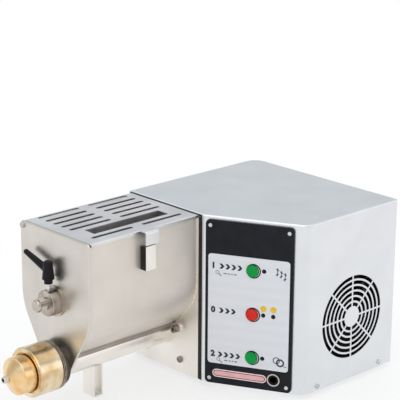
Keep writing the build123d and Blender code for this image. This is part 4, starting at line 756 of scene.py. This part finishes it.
class PASTA_OT_fittings(bpy.types.Operator):
    """Finish the feet, the seals and the plastic fittings."""

    bl_idname = "pasta.fittings"
    bl_label = "Feet, seals and fittings"

    def execute(self, context):
        # Glass-filled polyester of bought fittings: deep black and fairly matt.
        polyester = moulded_plastic(
            "moulded_pbt_black", "121010", "0b0a0a", 0.8, 0.5, relief_mm=0.03, gloss=0.15
        )
        dress(polyester, "socket_body", "button_switches", "cable_gland", "fan_frame", "fan_rotor")
        dress(soft_rubber("vulcanised_rubber_black", "232323", "1a1a1a"), "rubber_feet")
        silicone = soft_rubber("silicone_rubber_white", "dedbd2", "cfcbc1")
        dress(silicone, "shaft_seals", "die_seal")
        # Undyed nylon: a waxy cream.
        natural = moulded_plastic("moulded_nylon_natural", "e2dfd2", "d2cfc1", 0.8, 0.4)
        dress(natural, "terminal_block")
        # Moulded ABS sensor body: brownish black with a low sheen.
        sensor = moulded_plastic("moulded_abs_black", "221f1e", "191716", 0.8, 0.4, gloss=0.2)
        dress(sensor, "interlock_sensor")
        # Glass-epoxy board under a green solder mask.
        board = moulded_plastic(
            "solder_masked_board", "2d6b43", "1f5332", 1.5, 0.35, relief_mm=0.03, gloss=0.3
        )
        dress(board, "control_board")
        return {"FINISHED"}


# ---- pieces on the panel, with places in millimetres along it and up it
class PASTA_OT_rims(bpy.types.Operator):
    """Add the black rims round the buttons and the indicator lamps."""

    bl_idname = "pasta.rims"
    bl_label = "Button and lamp rims"

    BUTTONS = ("mix_button", "stop_button", "extrude_button")
    BUTTON_BORE = 10.25 * MM  # radius
    LAMPS = ((102.9, 207.7), (102.7, 135.0), (119.0, 134.8), (102.4, 62.4))
    LAMP_BORE = 2.66 * MM
    LAMP_RIM_HEIGHT = 0.9 * MM

    def execute(self, context):
        panel = context.scene.pasta_panel
        # Moulded plastic, deep black with very little gloss.
        black = moulded_plastic(
            "moulded_rim_black", "141518", "0d0e10", 0.6, 0.4, relief_mm=0.01, gloss=0.08
        )
        shape = bmesh.new()
        section = self.section(
            self.BUTTON_BORE, panel.button_rim, panel.rim_height, shoulder=0.4, slope=0.3 * MM
        )
        for name in self.BUTTONS:
            add_turned_ring(shape, section, on_panel(*panel_place(name)))
        section = self.section(
            self.LAMP_BORE, panel.lamp_rim, self.LAMP_RIM_HEIGHT, shoulder=0.5, slope=0.6 * MM,
            draft=0.1 * MM,
        )
        for place in self.LAMPS:
            add_turned_ring(shape, section, on_panel(*place), sides=40)
        keep_shape("button_and_lamp_rims", shape, black)
        return {"FINISHED"}

    def section(self, bore, outer, height, shoulder, slope, draft=0.0):
        """Outline of a rim with a shoulder at a share of its height, from which it slopes inwards."""
        return (
            (bore, 0), (outer, 0), (outer - draft, shoulder * height), (outer - slope, height),
            (bore, height),
        )


class PASTA_OT_print(bpy.types.Operator):
    """Print the numerals, the plain symbols and the markers on the label."""

    bl_idname = "pasta.print"
    bl_label = "Panel print"

    # Each button's name and numeral, the row's height, and the start and number of its arrowheads.
    ROWS = (("mix", "1", 208.3, 30.0, 4), ("stop", "0", 134.7, 30.0, 3), ("extrude", "2", 60.2, 28.5, 4))
    NUMERAL_PLACE = 20.5
    NUMERAL_SHARE = 0.72  # of the font's size that a numeral's height takes
    NUMERAL_SPREAD = 0.85 * MM  # makes the strokes bold
    ARROW_PITCH = 9.8
    ARROW_HALF, ARROW_LIMB, ARROW_TIP = 4.3 * MM, 4.6 * MM, 3.8 * MM
    # Where each small mark starts, and its dashes as (distance from there, length).
    MARKS = ((28.8, 196.4), (31.4, 50.4))
    DASHES = ((11.0, 5.6), (17.2, 3.6), (22.0, 3.0), (27.4, 4.6))
    # Each arm's place and length, and its blades as (share of the length, slope).
    ARMS = ((124.4, 209.2, 14.0), (130.6, 206.0, 12.0), (136.8, 202.6, 14.0))
    ARM_LEAN = radians(86)
    BLADES = ((-0.28, radians(124)), (0.26, radians(62)))
    # Each linked ring's place, its radius and the width of its line.
    RINGS = ((125.4, 62.2, 5.0, 1.5), (131.6, 58.8, 5.4, 2.6))
    RING_TAIL = (139.5, 53.4)
    MARKERS = ((102.8, 146.0), (119.1, 146.0))
    MARKER_RADIUS = 5.2 * MM

    def execute(self, context):
        panel = context.scene.pasta_panel
        thick = panel.print_thickness
        black = screen_ink("screen_ink_black", "17171a", "121214")
        self.add_numerals(panel, black)
        self.add_pointers(thick, black)
        self.add_small_marks(thick)
        self.add_symbols(thick)
        self.add_markers(panel.marker_colour, thick)
        return {"FINISHED"}

    def add_numerals(self, panel, ink):
        """The numerals 1, 0 and 2 beside the mixing, stopping and extruding buttons."""
        for name, numeral, z, *_ in self.ROWS:
            letters = bpy.data.curves.new(f"numeral_{name}", "FONT")
            letters.body = numeral
            letters.size = panel.numeral_height / self.NUMERAL_SHARE
            letters.offset = self.NUMERAL_SPREAD
            letters.extrude = panel.print_thickness / 2
            letters.align_x, letters.align_y = "CENTER", "CENTER"
            holder = bpy.data.objects.new(f"numeral_{name}", letters)
            bpy.context.scene.collection.objects.link(holder)
            bpy.context.view_layer.update()
            solid = holder.evaluated_get(bpy.context.evaluated_depsgraph_get())
            mesh = bpy.data.meshes.new_from_object(solid)
            bpy.data.objects.remove(holder)
            mesh.transform(on_panel(self.NUMERAL_PLACE, z, LABEL_FACE + panel.print_thickness / 2))
            add_piece(f"label_numeral_{name}", mesh, ink)

    def add_pointers(self, thick, ink):
        """Rows of bold arrowheads that point along the panel to the buttons."""
        half, limb, tip = self.ARROW_HALF, self.ARROW_LIMB, self.ARROW_TIP
        outline = ((0, -half), (limb, -half), (limb + tip, 0), (limb, half), (0, half), (tip, 0))
        shape = bmesh.new()
        for _, _, z, start, count in self.ROWS:
            for number in range(count):
                matrix = on_panel(start + self.ARROW_PITCH * number, z)
                face = shape.faces.new([shape.verts.new(matrix @ Vector((*at, 0))) for at in outline])
                made = bmesh.ops.extrude_face_region(shape, geom=[face])["geom"]
                bmesh.ops.translate(shape, verts=pick(made, BMVert), vec=OUT * thick)
        keep_shape("label_pointer_marks", shape, ink)

    def add_small_marks(self, thick):
        """Small grey marks under the first and last numeral: a ring with a stroke, and dashes."""
        grey = screen_ink("screen_ink_grey", "777a82", "6c6f77", roughness=0.45)
        slope = Matrix.Rotation(radians(-42), 4, "Z")
        shape = bmesh.new()
        for s, z in self.MARKS:
            add_hoop(shape, 2.6 * MM, 0.9 * MM, thick, on_panel(s - 1.6, z + 1.6), sides=24)
            add_pill(shape, (6.4 * MM, 1.5 * MM, thick), on_panel(s + 2.6, z - 2.4) @ slope)
            for step, length in self.DASHES:
                add_pill(shape, (length * MM, 1.9 * MM, thick), on_panel(s + step, z + 0.4))
        keep_shape("label_small_marks", shape, grey)

    def add_symbols(self, thick):
        """Three stirring arms beside the mixing lamp, and two linked rings beside the extruding lamp."""
        ink = screen_ink("screen_ink_blue_black", "232b3c", "1c2332")
        shape = bmesh.new()
        for s, z, length in self.ARMS:
            arm = on_panel(s, z) @ Matrix.Rotation(self.ARM_LEAN, 4, "Z")
            add_pill(shape, (length * MM, 1.2 * MM, thick), arm)
            for share, slope in self.BLADES:
                blade = arm @ Matrix.Translation((share * length * MM, 0, 0))
                add_pill(shape, (5.4 * MM, 1.7 * MM, thick), blade @ Matrix.Rotation(slope, 4, "Z"))
        for s, z, radius, width in self.RINGS:
            add_hoop(shape, radius * MM, width * MM, thick, on_panel(s, z))
        add_pill(shape, (5.0 * MM, 1.2 * MM, thick), on_panel(*self.RING_TAIL))
        keep_shape("label_symbols", shape, ink)

    def add_markers(self, colour, thick):
        """Two plain round markers over the stop lamps."""
        amber = screen_ink("screen_ink_amber", colour, darker(colour, 0.12), roughness=0.4)
        shape = bmesh.new()
        for place in self.MARKERS:
            add_disc(shape, self.MARKER_RADIUS, thick, on_panel(*place))
        keep_shape("label_amber_markers", shape, amber)


class PASTA_OT_badge(bpy.types.Operator):
    """Add the blank badge with its red rim at the foot of the panel."""

    bl_idname = "pasta.badge"
    bl_label = "Blank badge"

    PLACE = (64.7, 27.6)
    # Each layer's name and slot, its enamel and tones, and its edge and thickness in millimetres.
    LAYERS = (
        ("badge_rim", "label_film", "enamel_white", "f0ecea", "e6e2e0", 0.0, 0.4),
        ("badge_band", "button_red", "enamel_red", "b8343c", "a62b33", 1.5, 0.5),
        ("badge_face", "label_film", "enamel_rose", "e6b9bb", "dcaaad", 2.9, 0.6),
    )

    def execute(self, context):
        length, height = context.scene.pasta_panel.badge_size
        for name, slot, finish, light, dark, edge, thick in self.LAYERS:
            shape = bmesh.new()
            size = (length - 2 * edge * MM, height - 2 * edge * MM, thick * MM)
            add_pill(shape, size, on_panel(*self.PLACE, PANEL_FACE))
            keep_shape(name, shape, enamel(finish, light, dark))
        return {"FINISHED"}


# ---- pieces on the tank and the housing
class PASTA_OT_gap_seal(bpy.types.Operator):
    """Add the black rubber seal in the gap between the mount plate and the housing cover: its foot is the
    black piece at the bottom, and its strip above is painted shade for the dark of the gap.
    """

    bl_idname = "pasta.gap_seal"
    bl_label = "Gap seal"

    COVER_GAP, PLATE_GAP = 0.5 * MM, 0.1 * MM  # on its two sides
    FOOT_GAP, TOP_GAP = 1 * MM, 2 * MM  # at the mount plate's foot and top
    STRIP_DEPTH, STRIP_EDGE = 2.2 * MM, 0.6 * MM
    FOOT_DEPTH, FOOT_EDGE, FOOT_HEIGHT = 2.6 * MM, 0.8 * MM, 13 * MM

    def execute(self, context):
        # Black rubber; the strip up the gap is painted shade, the foot is a real black piece.
        black = soft_rubber("rubber_black_gap_shade", "343132", "272425")
        plate_low, plate_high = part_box("mount_plate")
        frame_low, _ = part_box("front_frame")
        near, far = frame_low[1] + self.COVER_GAP, plate_low[1] - self.PLATE_GAP
        foot = plate_low[2] + self.FOOT_GAP
        strip, top = foot + self.FOOT_HEIGHT, plate_high[2] - self.TOP_GAP
        shape = bmesh.new()
        for start, end, depth, edge in (
            (strip, top, self.STRIP_DEPTH, self.STRIP_EDGE),
            (foot, strip, self.FOOT_DEPTH, self.FOOT_EDGE),
        ):
            matrix = Matrix.Translation((frame_low[0] - depth / 2, (near + far) / 2, start))
            add_bar(shape, (depth, far - near, end - start), matrix, edge)
        keep_shape("gap_seal", shape, black)
        return {"FINISHED"}


class PASTA_OT_sensor_cap(bpy.types.Operator):
    """Close the near end of the interlock's channel with a dark cap, painted shade for the inside of the
    open channel.
    """

    bl_idname = "pasta.sensor_cap"
    bl_label = "Channel shade cap"

    THICKNESS = 1.6 * MM
    INSERTED = 0.5 * MM  # how much of the thickness is inside the channel
    MARGIN = 0.6 * MM  # inside the channel's outline
    EDGE = 0.4 * MM
    BOSS = (0.62, 0.4, 0.5 * MM)  # share of the channel's height and depth, and thickness
    BOSS_SUNK = 0.1 * MM

    def execute(self, context):
        # Brownish black with a low sheen: painted shade where the channel stands open.
        black = moulded_plastic(
            "channel_shade_brown_black", "2b2523", "1f1a18", 0.8, 0.45, gloss=0.15
        )
        low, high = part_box("interlock_channel")
        depth, height = high[1] - low[1], high[2] - low[2]
        place = (low[0] + self.INSERTED, (low[1] + high[1]) / 2, (low[2] + high[2]) / 2)
        matrix = Matrix.Translation(place) @ Matrix.Rotation(-pi / 2, 4, "Y")
        shape = bmesh.new()
        size = (height - 2 * self.MARGIN, depth - 2 * self.MARGIN, self.THICKNESS)
        add_bar(shape, size, matrix, self.EDGE)
        boss = matrix @ Matrix.Translation((0, 0, self.THICKNESS - self.BOSS_SUNK))
        add_pill(shape, (self.BOSS[0] * height, self.BOSS[1] * depth, self.BOSS[2]), boss)
        keep_shape("channel_end_shade_cap", shape, black)
        return {"FINISHED"}


class PASTA_OT_weld_bead(bpy.types.Operator):
    """Lay the weld bead where the trough meets the mount plate."""

    bl_idname = "pasta.weld_bead"
    bl_label = "Weld bead"

    START_HEIGHT = 12 * MM  # above the mixer's axis, on the near wall
    END_GAP = 24 * MM  # left of the flat's length at its foot

    def execute(self, context):
        # Ground bead: bright, with coarse ripples that catch the light.
        bead = worked_metal(
            "ground_weld_bead", "f3ebdd", "d3c3ab", (2, 2, 2), 0.22, relief_mm=0.25, cloud_mm=6
        )
        shape = bmesh.new()
        self.lay_bead(shape, context.scene.pasta_tank.weld_radius)
        keep_shape("trough_weld_bead", shape, bead)
        return {"FINISHED"}

    def lay_bead(self, shape, radius):
        """Bead from low on the near wall, round the trough's bend and down its flat."""
        top = (PLATE_FACE, TANK_MIDDLE_Y - WALL_REACH, MIXER_Z + self.START_HEIGHT)
        ring = bmesh.ops.create_circle(
            shape, segments=10, radius=radius, matrix=Matrix.Translation(top)
        )
        ends = list(dict.fromkeys(edge for vert in ring["verts"] for edge in vert.link_edges))
        ends = self.run(shape, ends, Vector((0, 0, -self.START_HEIGHT)))
        made = bmesh.ops.spin(
            shape, geom=ends, cent=(PLATE_FACE, TANK_MIDDLE_Y, MIXER_Z), axis=(1, 0, 0),
            angle=FLAT_TILT, steps=24,
        )
        down = Vector((0, sin(FLAT_TILT), -cos(FLAT_TILT)))
        self.run(shape, pick(made["geom_last"], BMEdge), down * (FLAT_LENGTH - self.END_GAP))
        bmesh.ops.holes_fill(shape, edges=[edge for edge in shape.edges if edge.is_boundary])

    def run(self, shape, edges, way):
        """Draw the bead on in a straight line and return its new end."""
        made = bmesh.ops.extrude_edge_only(shape, edges=edges)["geom"]
        moved = pick(made, BMVert)
        bmesh.ops.translate(shape, verts=moved, vec=way)
        return [
            edge
            for edge in pick(made, BMEdge)
            if all(vert in moved for vert in edge.verts)
        ]


class PASTA_OT_saddle(bpy.types.Operator):
    """Fillet the joints where the trough runs down onto the barrel."""

    bl_idname = "pasta.saddle"
    bl_label = "Saddle fillet"

    PROUD = 0.25 * MM  # the weld metal ends in a low edge on both walls
    SUNK_IN_FLAT, SUNK_IN_TUBE = 0.9 * MM, 1.2 * MM  # where its root is hidden

    def execute(self, context):
        # Ground weld metal with lines along it, painted darker than the sheet as shade in the valley
        # between trough and barrel.
        steel = worked_metal(
            "saddle_weld_painted_shade", "b3a79d", "94877d", (50, 0.7, 0.7), 0.4,
            relief_mm=0.004, metal=0.7,
        )
        radius = context.scene.pasta_tank.saddle_radius
        start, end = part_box("tank_end_plate")[1][0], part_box("barrel_flange")[0][0]
        shape = bmesh.new()
        for side in (-1, 1):
            self.add_fillet(shape, side, radius, start, end - start)
        keep_shape("saddle_fillets", shape, steel)
        return {"FINISHED"}

    def add_fillet(self, shape, side, radius, x, length):
        """Hollow wedge along the barrel, from the flat of the trough round onto the tube."""
        tube = tube_radius("barrel_tube")
        axis = Vector((x, TANK_MIDDLE_Y, BARREL_Z))
        across = Vector((0, side * cos(FLAT_TILT), -sin(FLAT_TILT)))
        up_flat = Vector((0, side * sin(FLAT_TILT), cos(FLAT_TILT)))
        reach = sqrt((tube + radius) ** 2 - (FLAT_OFFSET + radius) ** 2)
        centre = axis + across * (FLAT_OFFSET + radius) + up_flat * reach
        on_flat = axis + across * (FLAT_OFFSET + self.PROUD) + up_flat * reach
        on_tube = axis + (centre - axis).normalized() * (tube + self.PROUD)
        root = axis + across * (FLAT_OFFSET - self.SUNK_IN_FLAT) + up_flat * (tube - self.SUNK_IN_TUBE)
        turn = (on_flat - centre).angle(on_tube - centre)
        first = shape.verts.new(on_flat)
        made = bmesh.ops.spin(
            shape, geom=[first], cent=centre, axis=(side, 0, 0), angle=turn, steps=10
        )
        last = pick(made["geom_last"], BMVert)[0]
        corner = shape.verts.new(root)
        shape.edges.new((last, corner))
        shape.edges.new((corner, first))
        rim = [edge for edge in shape.edges if not edge.link_faces]
        face = bmesh.ops.contextual_create(shape, geom=rim)["faces"]
        made = bmesh.ops.extrude_face_region(shape, geom=face)["geom"]
        bmesh.ops.translate(shape, verts=pick(made, BMVert), vec=(length, 0, 0))


class PASTA_OT_thread(bpy.types.Operator):
    """Add the thread crests that show on the barrel collar behind the ring nut."""

    bl_idname = "pasta.thread"
    bl_label = "Collar thread"

    CRESTS = 2
    NUT_GAP = 1.9 * MM  # from the nut's back to the middle of the first crest
    SUNK, PROUD = 0.3 * MM, 0.5 * MM  # foot and top, from the collar's face
    HALF_FOOT, HALF_TOP = 0.5 * MM, 0.12 * MM

    def execute(self, context):
        # Freshly cut thread, with fine rings: brighter than the collar, which is painted dark as shade.
        steel = worked_metal(
            "cut_thread_steel", "e0d6c8", "b9ad9d", (0.4, 0, 0), 0.2, relief_mm=0.02, cloud_mm=9
        )
        collar = tube_radius("barrel_collar")
        foot, top = collar - self.SUNK, collar + self.PROUD
        section = (
            (foot, -self.HALF_FOOT), (top, -self.HALF_TOP), (top, self.HALF_TOP), (foot, self.HALF_FOOT)
        )
        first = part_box("ring_nut")[1][0] + self.NUT_GAP
        turn = Matrix.Rotation(-pi / 2, 4, "Y")
        shape = bmesh.new()
        for number in range(self.CRESTS):
            x = first + context.scene.pasta_tank.thread_pitch * number
            matrix = Matrix.Translation((x, TANK_MIDDLE_Y, BARREL_Z)) @ turn
            add_turned_ring(shape, section, matrix, sides=72)
        keep_shape("collar_thread", shape, steel)
        return {"FINISHED"}


class PASTA_PT_sidebar(bpy.types.Panel):
    """List every step of the dressing in the sidebar."""

    bl_idname = "PASTA_PT_sidebar"
    bl_label = "Pasta Maker"
    bl_space_type = "VIEW_3D"
    bl_region_type = "UI"
    bl_category = "Pasta Maker"

    def draw(self, context):
        for step in STEPS:
            self.layout.operator(step.bl_idname)
        for group in (context.scene.pasta_studio, context.scene.pasta_panel, context.scene.pasta_tank):
            for name in group.bl_rna.properties.keys():
                if name not in ("name", "rna_type"):
                    self.layout.prop(group, name)


STEPS = (
    PASTA_OT_studio,
    PASTA_OT_sheet,
    PASTA_OT_turned_steel,
    PASTA_OT_drive,
    PASTA_OT_brass,
    PASTA_OT_controls,
    PASTA_OT_fittings,
    PASTA_OT_rims,
    PASTA_OT_print,
    PASTA_OT_badge,
    PASTA_OT_gap_seal,
    PASTA_OT_sensor_cap,
    PASTA_OT_weld_bead,
    PASTA_OT_saddle,
    PASTA_OT_thread,
)
SETTINGS = {"pasta_studio": StudioSettings, "pasta_panel": PanelSettings, "pasta_tank": TankSettings}


def register():
    for group in SETTINGS.values():
        bpy.utils.register_class(group)
    for name, group in SETTINGS.items():
        setattr(bpy.types.Scene, name, PointerProperty(type=group))
    for step in (*STEPS, PASTA_PT_sidebar):
        bpy.utils.register_class(step)


def unregister():
    for step in (PASTA_PT_sidebar, *reversed(STEPS)):
        bpy.utils.unregister_class(step)
    for name, group in SETTINGS.items():
        delattr(bpy.types.Scene, name)
        bpy.utils.unregister_class(group)


def main():
    register()
    bpy.ops.pasta.studio()
    bpy.ops.pasta.sheet()
    bpy.ops.pasta.turned_steel()
    bpy.ops.pasta.drive()
    bpy.ops.pasta.brass()
    bpy.ops.pasta.controls()
    bpy.ops.pasta.fittings()
    bpy.ops.pasta.rims()
    bpy.ops.pasta.print()
    bpy.ops.pasta.badge()
    bpy.ops.pasta.gap_seal()
    bpy.ops.pasta.sensor_cap()
    bpy.ops.pasta.weld_bead()
    bpy.ops.pasta.saddle()
    bpy.ops.pasta.thread()


if __name__ == "__main__":
    main()
